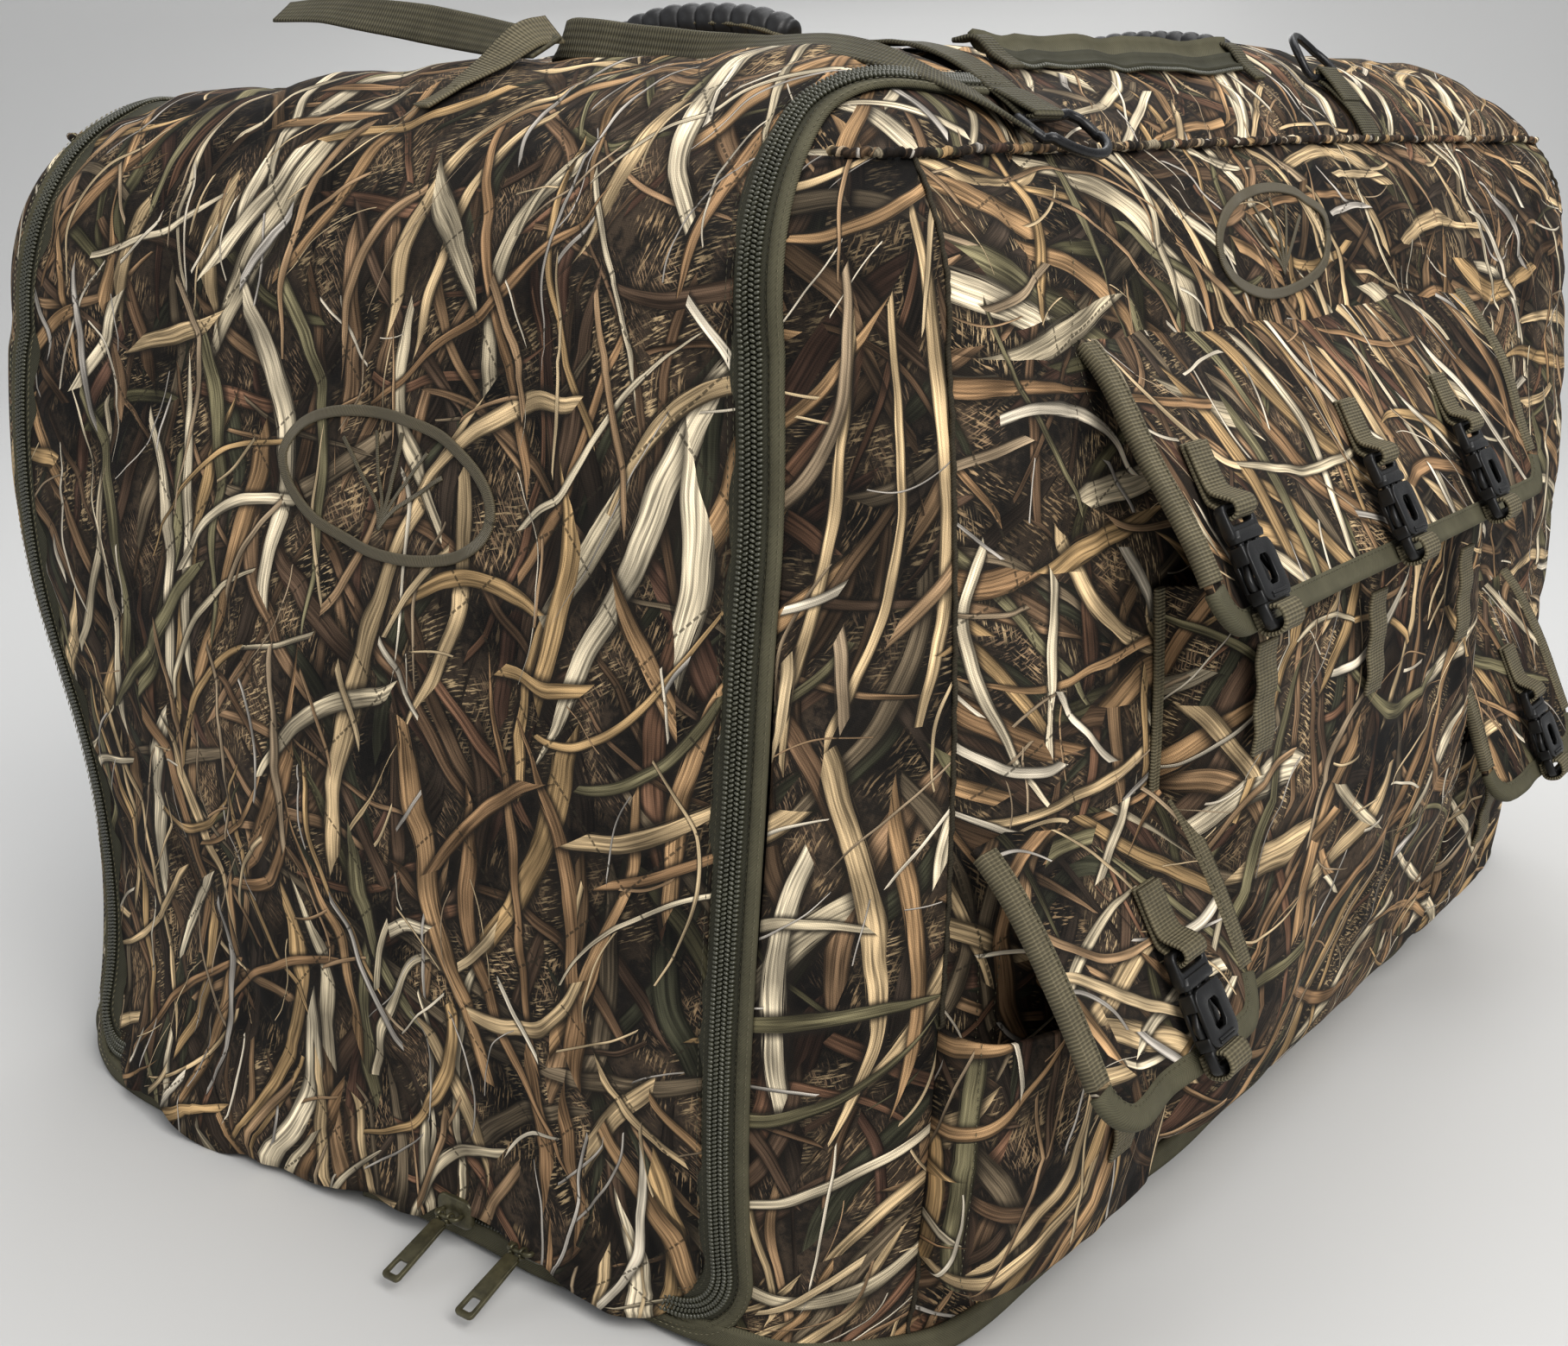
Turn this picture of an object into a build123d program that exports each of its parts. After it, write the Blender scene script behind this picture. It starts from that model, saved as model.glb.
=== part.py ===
from build123d import *
from functools import lru_cache
import os

# A retriever's field blind: a quilted cover over a moulded travel crate.
# Millimetres. +Z is up, the door faces -Y and the pocketed side faces +X.
# The origin is the centre of the crate's underside.

# Driving dimensions of the cover
WIDTH = 620
LENGTH = 920
HEIGHT = 575
BULGE = 20            # how far the padded walls belly out at mid-height
PLAN_BULGE = 1.3      # and along their length, as a share of that
PLAN_EASE = 1.5       # plan outline outside the upright one at the corners
CORNER_R = 60         # upright corners, in plan
SHOULDER_R = 135      # wall to roof
BASE_R = 36           # wall to floor
FABRIC = 8            # quilted panel thickness
SEAM_Z = 525          # welt seam between walls and roof
CORNER_SEAM_Y = 442   # upright seams between walls and ends
HEM_BOTTOM = 4
HEM_TOP = 10

# Crate inside the cover
CRATE_INSET = 16
CRATE_WALL = 4
CRATE_BULGE = 3
CRATE_SPLIT = 270
DOOR_HALF = 190
DOOR_LOW, DOOR_HIGH = 60, 460

# Zip-out door of the cover
DOOR_BACK = -310      # the door wraps over the roof as far as this line
ZIP_TOP_X = 242       # half width between the zips at the roof
ZIP_LOW_X = 230       # and at the floor
ZIP_LOW_Z = 22
ZIP_CORNER_R = 55
TAPE = 12             # each side of the zip
COIL = 5
ZIP_GAP = 0.4

# Pocketed side
FLAP_THICK = 5
FLAP_STANDOFF = 6.5   # hinge line out from the wall
BINDING = 12
WALL_X = WIDTH / 2
WEB = 20              # webbing width
WEB_THICK = 1.6
FLAPS = {
    "window": dict(y=(-325, 140), wall=310, z=443, tilt=30.2, drop=128, buckles=(-290, -118, 15)),
    "front_pocket": dict(y=(-415, -262), wall=325.5, z=250, tilt=29.0, drop=118, buckles=(-326,)),
    "rear_pocket": dict(y=(88, 250), wall=330.5, z=250, tilt=26.0, drop=116, buckles=(175,)),
}
POUCHES = {
    "centre_pouch": dict(y=(-257, 84), z=(58, 336), depth=38),
    "front_cargo_pocket": dict(y=(-415, -262), z=(42, 172), depth=30),
    "rear_cargo_pocket": dict(y=(88, 250), z=(42, 172), depth=30),
}
POUCH_WALL = 4

# Roof fittings
RINGS = {"1": (1, -295), "2": (1, 62), "3": (-1, -295), "4": (-1, 62)}
RING_ANGLE = 48       # where the ring's bar sits round the shoulder, from level
RING_OFF = 5.6        # bar's centre out from the cover
RING_R = 18.5
RING_WIRE = 2.4
HANDLES = {"front": -190, "rear": 350}
HANDLE_HALF = 72      # half the webbing's span
HANDLE_FOOT = 7       # its ends above the roof
HANDLE_CROWN = 20
GRIP_R = 10.5
GRIP_HALF = 57
SLIDERS = {"left": 70, "right": 118}

os.makedirs("parts", exist_ok=True)


def save(shape, node):
    export_step(shape, f"parts/{node}.step")


def group(solids):
    return Compound(children=list(solids))


def box(x, y, z):
    """A block from its low and high limits on each axis."""
    centre = [(a + b) / 2 for a, b in (x, y, z)]
    size = [b - a for a, b in (x, y, z)]
    return Pos(*centre) * Box(*size)


def wall_profile(half, top, off, bulge, base):
    """Upright outline of the body: bellied walls, round shoulders, round base."""
    h, t = half + off, top + off
    rs, rb = SHOULDER_R + off, BASE_R + base
    k = 1 - 0.5 ** 0.5
    mid = (rb + t - rs) / 2
    with BuildSketch() as sketch:
        with BuildLine():
            Line((-(h - rb), 0), (h - rb, 0))
            for s in (1, -1):
                ThreePointArc((s * (h - rb), 0), (s * (h - rb * k), rb * k), (s * h, rb))
                ThreePointArc((s * h, rb), (s * (h + bulge), mid), (s * h, t - rs))
                ThreePointArc((s * h, t - rs), (s * (h - rs * k), t - rs * k), (s * (h - rs), t))
            Line((-(h - rs), t), (h - rs, t))
        make_face()
    return sketch.sketch


def plan_profile(off, bulge):
    """Outline from above: bellied sides between round corners."""
    w, l, r = WIDTH / 2 + off + PLAN_EASE, LENGTH / 2 + off + PLAN_EASE, CORNER_R + off
    bulge *= PLAN_BULGE
    k = 1 - 0.5 ** 0.5
    with BuildSketch() as sketch:
        with BuildLine():
            for s in (1, -1):
                ThreePointArc((s * w, -(l - r)), (s * (w + bulge), 0), (s * w, l - r))
                ThreePointArc((-(w - r), s * l), (0, s * (l + bulge)), (w - r, s * l))
                for q in (1, -1):
                    ThreePointArc((s * (w - r), q * l), (s * (w - r * k), q * (l - r * k)), (s * w, q * (l - r)))
        make_face()
    return sketch.sketch


@lru_cache
def body(off, bulge=BULGE):
    """The whole rounded block, grown by off beyond the cover's outside."""
    base = off if off < 0 else 0
    far = LENGTH
    across = extrude(Plane.XZ * wall_profile(WIDTH / 2, HEIGHT, off, bulge, base), far, both=True)
    along = extrude(Plane.YZ * wall_profile(LENGTH / 2, HEIGHT, off, bulge, base), far, both=True)
    plan = extrude(plan_profile(off, bulge), HEIGHT + 100)
    return across & along & plan


def shell(outer, inner):
    return body(outer) - body(inner)


def door_outline(off):
    """The zips' line across the front, grown by off."""
    slope = (ZIP_TOP_X - ZIP_LOW_X) / (HEIGHT - ZIP_LOW_Z)
    high = HEIGHT + 120
    top = ZIP_TOP_X + slope * (high - HEIGHT) + off
    low, z = ZIP_LOW_X + off, ZIP_LOW_Z - off
    with BuildSketch() as sketch:
        with BuildLine():
            Polyline((-top, high), (-low, z), (low, z), (top, high), close=True)
        make_face()
        fillet(sketch.vertices().sort_by(Axis.Y)[:2], ZIP_CORNER_R + off)
    return sketch.sketch


def door_zone(off, back=DOOR_BACK):
    """Everything in front of the door's back line, inside the zips' line."""
    return extrude(Plane.XZ * door_outline(off), LENGTH) & box((-400, 400), (-600, back), (-50, 700))


# ---- the crate ----

def crate():
    outer = body(-CRATE_INSET, CRATE_BULGE)
    hollow = body(-CRATE_INSET - CRATE_WALL, CRATE_BULGE) & box((-400, 400), (-600, 600), (5, 700))
    whole = outer - hollow
    arch = Rectangle(2 * DOOR_HALF, DOOR_HIGH - DOOR_LOW)
    arch = fillet(arch.vertices().sort_by(Axis.Y)[2:], 80)
    arch = fillet(arch.vertices().sort_by(Axis.Y)[:2], 20)
    arch = Pos(0, (DOOR_LOW + DOOR_HIGH) / 2) * arch
    whole -= extrude(Plane.XZ * arch, LENGTH) & box((-300, 300), (-600, -300), (0, 600))
    below = whole & box((-400, 400), (-600, 600), (-1, CRATE_SPLIT))
    above = whole & box((-400, 400), (-600, 600), (CRATE_SPLIT, 700))
    for side in (1, -1):
        for y in range(-300, 301, 60):
            above -= Pos(side * 300, y, 370) * Box(60, 16, 90)
    for x in range(-120, 121, 60):
        above -= Pos(x, 450, 370) * Box(16, 60, 90)
    lug_face = WIDTH / 2 - CRATE_INSET + 1
    bolts = []
    for side in (1, -1):
        for y in (-260, 0, 260):
            x = side * (lug_face + 8)
            limits = sorted((side * (lug_face - 2), side * (lug_face + 16)))
            hole = Pos(x, y, CRATE_SPLIT) * Cylinder(3.2, 40)
            below += box(limits, (y - 14, y + 14), (CRATE_SPLIT - 6, CRATE_SPLIT)) - hole
            above += box(limits, (y - 14, y + 14), (CRATE_SPLIT, CRATE_SPLIT + 6)) - hole
            bolts.append(crate_fastener(x, y))
    save(below, "crate_base")
    save(above, "crate_top")
    save(group(bolts), "crate_fasteners")


def crate_fastener(x, y):
    """A bolt with its wing nut run up to the flange."""
    stem = Pos(x, y, CRATE_SPLIT) * Cylinder(2.9, 26)
    head = Pos(x, y, CRATE_SPLIT - 8.2) * Cylinder(5.5, 4)
    nut = Pos(x, y, CRATE_SPLIT + 9.2) * Cylinder(5, 6)
    wings = Pos(x, y, CRATE_SPLIT + 12) * Box(3, 24, 7)
    return stem + head + nut + wings


# ---- the cover's fixed panels ----

def cover_panels():
    fabric = shell(0, -FABRIC) & box((-400, 400), (-600, 600), (HEM_TOP, 700))
    fixed = fabric - door_zone(TAPE)
    roof = fixed & box((-400, 400), (-600, 600), (SEAM_Z, 700))
    walls = fixed & box((-400, 400), (-600, 600), (0, SEAM_Z))
    seam = CORNER_SEAM_Y
    save(roof, "top_panel")
    save(walls & box((0, 400), (-seam, seam), (0, 600)), "side_panel_right")
    save(walls & box((-400, 0), (-seam, seam), (0, 600)), "side_panel_left")
    save(walls & box((-400, 400), (seam, 600), (0, 600)), "rear_panel")
    save(walls & box((-400, 400), (-600, -seam), (0, 600)), "front_surround")
    hem = shell(1, -FABRIC) & box((-400, 400), (-600, 600), (HEM_BOTTOM, HEM_TOP))
    save(hem, "hem_binding")
    piping = shell(2.5, 0) & box((-400, 400), (-600, 600), (SEAM_Z - 2, SEAM_Z + 2))
    save(piping - door_zone(TAPE), "welt_piping")


# ---- the zip-out door ----

def door():
    fabric = shell(0, -FABRIC)
    tape = shell(0, -4)
    coil = shell(3, 0)
    edge = DOOR_BACK - 1
    save(fabric & door_zone(-TAPE, edge), "front_flap")
    save(tape & (door_zone(-ZIP_GAP, edge - 5) - door_zone(-TAPE)), "flap_zipper_tape")
    save(coil & (door_zone(-ZIP_GAP, edge - 5) - door_zone(-COIL)), "flap_zipper_coil")
    save(tape & (door_zone(TAPE) - door_zone(ZIP_GAP)), "surround_zipper_tape")
    save(coil & (door_zone(COIL) - door_zone(ZIP_GAP)), "surround_zipper_coil")
    ring = Pos(43, 374) * (Ellipse(70, 31) - Ellipse(65, 26))
    save(shell(1.5, 0) & extrude(Plane.XZ * ring, LENGTH), "front_emblem")


def slider(name, x):
    """A slider plate over the coils with a bridge for its pull."""
    face = -(LENGTH / 2 + 3.4)
    plate = box((x - 12, x + 12), (face - 4, face), (ZIP_LOW_Z - 8, ZIP_LOW_Z + 8))
    plate = fillet(plate.edges().filter_by(Axis.Y), 4)
    bar_y, bar_z = face - 9, ZIP_LOW_Z
    for side in (1, -1):
        a, b = sorted((x + side * 5.2, x + side * 7.4))
        plate += box((a, b), (bar_y - 1.6, face - 4), (bar_z - 3, bar_z + 3))
    plate += Pos(x, bar_y, bar_z) * Rot(0, 90, 0) * Cylinder(1.3, 12)
    save(plate, f"{name}_zipper_slider")
    save(slider_pull(x, bar_y, bar_z), f"{name}_zipper_pull")


def slider_pull(x, y, z):
    """A flat tab with a square hole near its tip, lying out in front of the slider."""
    eye = Rot(0, 90, 0) * (Cylinder(3.1, 9) - Cylinder(1.7, 9))
    tab = box((-4.9, 4.9), (-40, -2.6), (-1.1, 1.1))
    tab = fillet(tab.edges().filter_by(Axis.Z).group_by(Axis.Y)[0], 2)
    tab -= box((-3.2, 3.2), (-37, -30), (-2, 2))
    return Pos(x, y, z) * Rot(22, 0, 0) * (eye + tab)


# ---- pockets, flaps and buckles on the +X side ----

def pouch(name, y, z, depth):
    """A sewn-on box pocket, open at the top under its flap."""
    outer = box((250, 460), y, z)
    outer = fillet(outer.edges().filter_by(Axis.X).group_by(Axis.Z)[0], 22)
    block = outer & shell(depth, 0.3)
    w = POUCH_WALL
    inside = box((250, 460), (y[0] + w, y[1] - w), (z[0] + w, z[1] + 20))
    inside = fillet(inside.edges().filter_by(Axis.X).group_by(Axis.Z)[0], 18)
    save(block - (inside & shell(depth - w, 0)), name)


def on_flap(spec, shape):
    """Take a shape from flap coordinates, hinge line at the origin, to its place."""
    return Pos(spec["wall"] + FLAP_STANDOFF, 0, spec["z"]) * Rot(0, -spec["tilt"], 0) * shape


def flap(name, spec):
    (a, b), drop = spec["y"], spec["drop"]
    whole = box((-FLAP_THICK, 0), (a, b), (-drop, 0))
    whole = fillet(whole.edges().filter_by(Axis.X).group_by(Axis.Z)[0], 24)
    core = box((-60, 60), (a + BINDING, b - BINDING), (-drop + BINDING, 10))
    core = fillet(core.edges().filter_by(Axis.X).group_by(Axis.Z)[0], 14)
    save(on_flap(spec, whole & core), f"{name}_flap")
    save(on_flap(spec, whole - core), f"{name}_flap_binding")
    straps, males = [], []
    for index, y in enumerate(spec["buckles"], 1):
        seat = Pos(0, y, -drop + 34)
        straps.append(on_flap(spec, seat * flap_strap()))
        males.append(on_flap(spec, seat * buckle_male()))
        tag = f"{name}_{index}" if len(spec["buckles"]) > 1 else name
        save(on_flap(spec, seat * buckle_female()), f"{tag}_buckle_female")
        save(on_flap(spec, seat * buckle_loop()), f"{tag}_buckle_loop")
    save(group(straps), f"{name}_flap_straps")
    save(group(males), f"{name}_buckle_males")


# Buckle frame: +X out of the flap, -Z towards its free edge, origin where the halves meet
BUCKLE_W = 27
BUCKLE_OFF = 2.4      # back of the buckle out from the flap
BUCKLE_T = 9


def flap_strap():
    """Webbing sewn to the flap, run through the male half's bar and folded back."""
    x = BUCKLE_OFF + BUCKLE_T / 2
    sewn = box((0.2, 0.2 + WEB_THICK), (-WEB / 2, WEB / 2), (21, 44))
    rise = box((0.2, x + 3.6), (-WEB / 2, WEB / 2), (19.4, 21))
    front = box((x + 2, x + 3.6), (-WEB / 2, WEB / 2), (8.6, 19.4))
    return sewn + rise + front


def buckle_male():
    """Bar end with a guide tongue and two sprung prongs."""
    low, high = BUCKLE_OFF, BUCKLE_OFF + BUCKLE_T
    frame = box((low, high - 3), (-BUCKLE_W / 2, BUCKLE_W / 2), (0.3, 18))
    frame = fillet(frame.edges().filter_by(Axis.X), 2)
    frame -= box((0, 20), (-WEB / 2 - 0.6, WEB / 2 + 0.6), (8, 15))
    mid = (low + high) / 2
    tongue = box((mid - 1.4, mid + 1.4), (-2, 2), (-19, 0.3))
    for side in (1, -1):
        a, b = sorted((side * 6, side * 9.2))
        tongue += box((mid - 1.4, mid + 1.4), (a, b), (-21, 0.3))
    return frame + tongue


def buckle_female():
    """Socket with side windows for the prongs and a bar for its webbing."""
    low, high = BUCKLE_OFF, BUCKLE_OFF + BUCKLE_T
    shell_block = box((low, high), (-BUCKLE_W / 2, BUCKLE_W / 2), (-37, 0))
    shell_block = fillet(shell_block.edges().filter_by(Axis.X).group_by(Axis.Z)[0], 4)
    mid = (low + high) / 2
    shell_block -= box((mid - 2.6, mid + 2.6), (-10.4, 10.4), (-23, 1))
    shell_block -= box((mid - 1.6, mid + 1.6), (-20, 20), (-20, -11))
    shell_block -= box((0, 20), (-WEB / 2 - 0.4, WEB / 2 + 0.4), (-33.5, -28))
    return shell_block


def buckle_loop():
    """Webbing folded through the female half's bar."""
    x = BUCKLE_OFF + BUCKLE_T + 0.3
    face = box((x, x + WEB_THICK), (-WEB / 2, WEB / 2), (-39.4, -27))
    turn = box((0.5, x + WEB_THICK), (-WEB / 2, WEB / 2), (-39.4, -37.8))
    back = box((0.5, 0.5 + WEB_THICK), (-WEB / 2, WEB / 2), (-37.8, -29))
    return face + turn + back


def anchor_webbing():
    """Short webbing patches sewn on the pouches below each buckle."""
    patches = []
    for y, z, lift in ((-244, 290, 38), (-118, 290, 38), (15, 290, 38), (-326, 118, 30), (175, 118, 30)):
        patches.append(shell(lift + 2, lift + 0.3) & box((250, 460), (y - WEB / 2, y + WEB / 2), (z - 20, z + 20)))
    save(group(patches), "pouch_anchor_webbing")


def side_emblem():
    ring = Pos(-120, 478) * (Ellipse(70, 25) - Ellipse(65, 20))
    save(shell(1.5, 0) & (extrude(Plane.YZ * ring, 400)), "side_emblem")


# ---- the roof ----

def shoulder_frame(y, off):
    """Place on the +X shoulder: X out of the cover, Z up the slope."""
    centre = Pos(WALL_X - SHOULDER_R, y, HEIGHT - SHOULDER_R)
    return centre * Rot(0, -RING_ANGLE, 0) * Pos(SHOULDER_R + off, 0, 0)


def d_ring(tag, side, y):
    """A ring of round wire, hung from a webbing keeper sewn up the shoulder."""
    arch = Rot(0, 90, 0) * Torus(RING_R, RING_WIRE) & box((-9, 9), (-40, 40), (-40, 0))
    bar = Rot(90, 0, 0) * Cylinder(RING_WIRE, 2 * RING_R)
    ends = [Pos(0, s * RING_R, 0) * Sphere(RING_WIRE) for s in (1, -1)]
    ring = shoulder_frame(y, RING_OFF) * (arch + bar + ends[0] + ends[1])
    keeper = Rot(90, 0, 0) * (Cylinder(RING_WIRE + 2.6, 25) - Cylinder(RING_WIRE + 1, 25))
    keeper = shoulder_frame(y, RING_OFF) * keeper
    tail_zone = shoulder_frame(y, 0) * box((-20, 30), (-12.5, 12.5), (2, 44))
    keeper = keeper + (shell(2.2, 0.4) & tail_zone)
    if side < 0:
        ring, keeper = (mirror(part, Plane.YZ) for part in (ring, keeper))
    save(ring, f"d_ring_{tag}")
    return keeper


def handle(name, y):
    """A webbing arch across the roof, wrapped in a fat padded grip."""
    foot, crown = HEIGHT + HANDLE_FOOT, HEIGHT + HANDLE_CROWN
    arc = ThreePointArc((-HANDLE_HALF, y, foot), (0, y, crown), (HANDLE_HALF, y, foot))
    section = Plane(origin=arc @ 0, z_dir=arc % 0) * Circle(GRIP_R)
    grip = sweep(section, path=arc) & box((-GRIP_HALF, GRIP_HALF), (y - 50, y + 50), (HEIGHT, HEIGHT + 80))
    band = sweep(Plane(origin=arc @ 0, z_dir=arc % 0, x_dir=(0, 1, 0)) * Rectangle(WEB, 2.4), path=arc)
    save(band, f"{name}_handle_webbing")
    save(grip - band, f"{name}_handle_grip")


def handle_anchors():
    """Flat tabs sewn to the roof at the feet of both handles."""
    tabs = []
    for y in HANDLES.values():
        for side in (1, -1):
            limits = sorted((side * (HANDLE_HALF + 2), side * (HANDLE_HALF + 26)))
            tabs.append(box(limits, (y - WEB / 2, y + WEB / 2), (HEIGHT + 0.4, HEIGHT + 3.2)))
    save(group(tabs), "handle_anchor_webbing")


def roof_fittings():
    keepers = [d_ring(tag, side, y) for tag, (side, y) in RINGS.items()]
    save(group(keepers), "d_ring_webbing")
    for name, y in HANDLES.items():
        handle(name, y)
    handle_anchors()
    slit = box((202, 234), (-262, -26), (HEIGHT - 60, HEIGHT + 20))
    save(shell(5, 0.4) & slit, "top_access_zipper")
    strap = shell(2.2, 0.4) & box((-80, 224), (-304, -279), (530, 700))
    tail = box((-215, -84), (-304, -279), (HEIGHT + 0.4, HEIGHT + 2.2))
    save(group([strap, tail]), "tie_straps")


crate()
cover_panels()
door()
for slider_name, slider_x in SLIDERS.items():
    slider(slider_name, slider_x)
for pouch_name, pouch_spec in POUCHES.items():
    pouch(pouch_name, **pouch_spec)
for flap_name, flap_spec in FLAPS.items():
    flap(flap_name, flap_spec)
anchor_webbing()
side_emblem()
roof_fittings()
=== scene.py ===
"""A retriever's field blind: a quilted, reed-printed cover over a moulded travel crate.

Metres, Z up, the door faces -Y and the pocketed side faces +X.
"""
import math
import bpy
import numpy as np
from mathutils import Matrix, Vector
from mathutils.bvhtree import BVHTree


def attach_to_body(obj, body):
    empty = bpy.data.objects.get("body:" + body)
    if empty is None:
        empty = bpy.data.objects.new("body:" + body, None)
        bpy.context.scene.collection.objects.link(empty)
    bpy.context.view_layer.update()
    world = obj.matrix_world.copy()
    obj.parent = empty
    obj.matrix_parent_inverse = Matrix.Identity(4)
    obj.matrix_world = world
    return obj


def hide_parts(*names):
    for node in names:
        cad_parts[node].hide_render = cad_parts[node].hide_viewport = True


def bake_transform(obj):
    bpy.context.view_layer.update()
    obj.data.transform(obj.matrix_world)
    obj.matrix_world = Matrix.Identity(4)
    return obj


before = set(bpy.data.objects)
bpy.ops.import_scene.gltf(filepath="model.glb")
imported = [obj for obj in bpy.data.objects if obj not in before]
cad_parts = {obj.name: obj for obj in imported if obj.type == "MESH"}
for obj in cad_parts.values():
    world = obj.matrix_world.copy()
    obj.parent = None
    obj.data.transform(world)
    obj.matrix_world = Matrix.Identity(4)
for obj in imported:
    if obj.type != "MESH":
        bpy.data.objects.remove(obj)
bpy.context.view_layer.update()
PI, TAU = math.pi, 2 * math.pi

# ---------------------------------------------------------------- the rounded body
W, L, H = 0.310, 0.460, 0.575          # half width, half length, roof height
BELLY, R_TOP, R_BASE = 0.020, 0.135, 0.016      # walls' swell; radii of the shoulder and the foot
MID, SHOULDER = 0.238, H - 0.135       # heights of the widest girth and of the shoulder's start
WELT_Z = 0.525                         # seam between the walls and the roof
DOOR_BACK = -0.310                     # Y of the door's sewn edge, on the roof
R_PLAN = 0.085                         # corner radius of the plan outline
BODY, DOOR = "cover_and_crate", "front_door"


def belly(z):
    """How far the walls stand out from the plan at a height."""
    return BELLY * np.clip(1 - ((z - MID) / (SHOULDER - MID)) ** 2, -0.15, 1)


def smooth(x, lo, hi):
    """0 below lo, 1 above hi, with a soft start and end."""
    t = np.clip((x - lo) / (hi - lo), 0, 1)
    return t * t * (3 - 2 * t)


def roof_drop(x, y):
    """The roof is lower over the door, and most at its far corner."""
    return (0.020 - 0.010 * smooth(x, 0.05, 0.26) + 0.016 * smooth(-x, 0.0, 0.20)) * smooth(-y, -0.05, 0.33)


def field(p):
    """Signed distance, near enough, to the cover's outer surface."""
    x, y, z = p[..., 0], p[..., 1], p[..., 2]
    far = smooth(-x, 0.0, 0.22) * smooth(-y, 0.0, 0.34)
    z = z + roof_drop(x, y) * smooth(z, 0.15, SHOULDER)
    swell = belly(z)
    slack = far * (0.002 * np.exp(-((z - 0.47) / 0.06) ** 2) - 0.026 * np.exp(-((z - 0.15) / 0.15) ** 2))
    skirt = 0.018 * smooth(-y, 0.3, 0.42) * smooth(-x, -0.05, 0.15) * (1 - smooth(-x, 0.20, 0.29))
    skirt = skirt * np.exp(-(z / 0.05) ** 2)
    bow = np.clip(swell / BELLY, 0, 1)
    qx = np.maximum(np.abs(x) + 0.012 * bow * (y / L) ** 2 - swell - slack - (W - R_TOP), 0)
    qy = np.maximum(np.abs(y) + 0.010 * bow * (x / W) ** 2 - swell - slack - skirt - (L - R_TOP), 0)
    power = 2.8 + 0.5 * far + 1.2 * smooth(z, SHOULDER, SHOULDER + 0.07) * (1 - far)
    wall = (qx ** power + qy ** power) ** (1 / power)
    round_off = 2 + 0.9 * far
    top = (wall ** round_off + np.maximum(z - SHOULDER, 0) ** round_off) ** (1 / round_off) - R_TOP
    a, b = wall - R_TOP + R_BASE, R_BASE - z
    low = np.hypot(np.maximum(a, 0), np.maximum(b, 0)) + np.minimum(np.maximum(a, b), 0) - R_BASE
    return np.where(z > MID, top, low)


def gradient(p):
    """Slope of the field, by central differences."""
    reach = 2e-4
    out = np.empty_like(p)
    for k in range(3):
        step = np.zeros(3)
        step[k] = reach
        out[..., k] = (field(p + step) - field(p - step)) / (2 * reach)
    return out


def outward(p):
    """Unit direction away from the cover."""
    g = gradient(p)
    return g / np.maximum(np.linalg.norm(g, axis=-1, keepdims=True), 1e-9)


def settle(p):
    """Move points along the slope of the field until they lie on the surface."""
    p = np.array(p, float)
    for _ in range(9):
        g = gradient(p)
        p -= g * (field(p) / np.maximum((g * g).sum(-1), 1e-6))[..., None]
    return p


def profile(t, half):
    """Distance out and height for a length t measured up the wall and over the shoulder."""
    phi = np.clip((t - SHOULDER) / R_TOP, 0, PI / 2)
    flat = np.maximum(t - SHOULDER - R_TOP * PI / 2, 0)
    out = np.where(t < SHOULDER, half + belly(t), half - R_TOP + R_TOP * np.cos(phi) - flat)
    return out, np.where(t < SHOULDER, t, SHOULDER + R_TOP * np.sin(phi))


ROOF_T = SHOULDER + R_TOP * PI / 2      # length up to where the roof is flat
BACK_T = ROOF_T + (L - R_TOP) + DOOR_BACK


def spread(*values):
    """The values as arrays of one shape."""
    return np.broadcast_arrays(*(np.asarray(v, float) for v in values))


def on_front(x, t):
    """Surface point at x, a length t up the front wall and over the shoulder."""
    x, t = spread(x, t)
    out, z = profile(t, L)
    return settle(np.stack([x, -out, z], -1))


def on_side(y, t, side=1):
    """Surface point at y, a length t up a side wall and over the shoulder."""
    y, t = spread(y, t)
    out, z = profile(t, W)
    return settle(np.stack([side * out, y, z], -1))


def on_roof(x, y, off=0.0):
    """The point straight below (x, y) from above the roof."""
    x, y = spread(x, y)
    low, high = np.full(x.shape, MID), np.full(x.shape, H + 0.02)
    for _ in range(30):
        mid = (low + high) / 2
        inside = field(np.stack([x, y, mid], -1)) < 0
        low, high = np.where(inside, mid, low), np.where(inside, high, mid)
    p = np.stack([x, y, low], -1)
    return p + outward(p) * off


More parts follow.
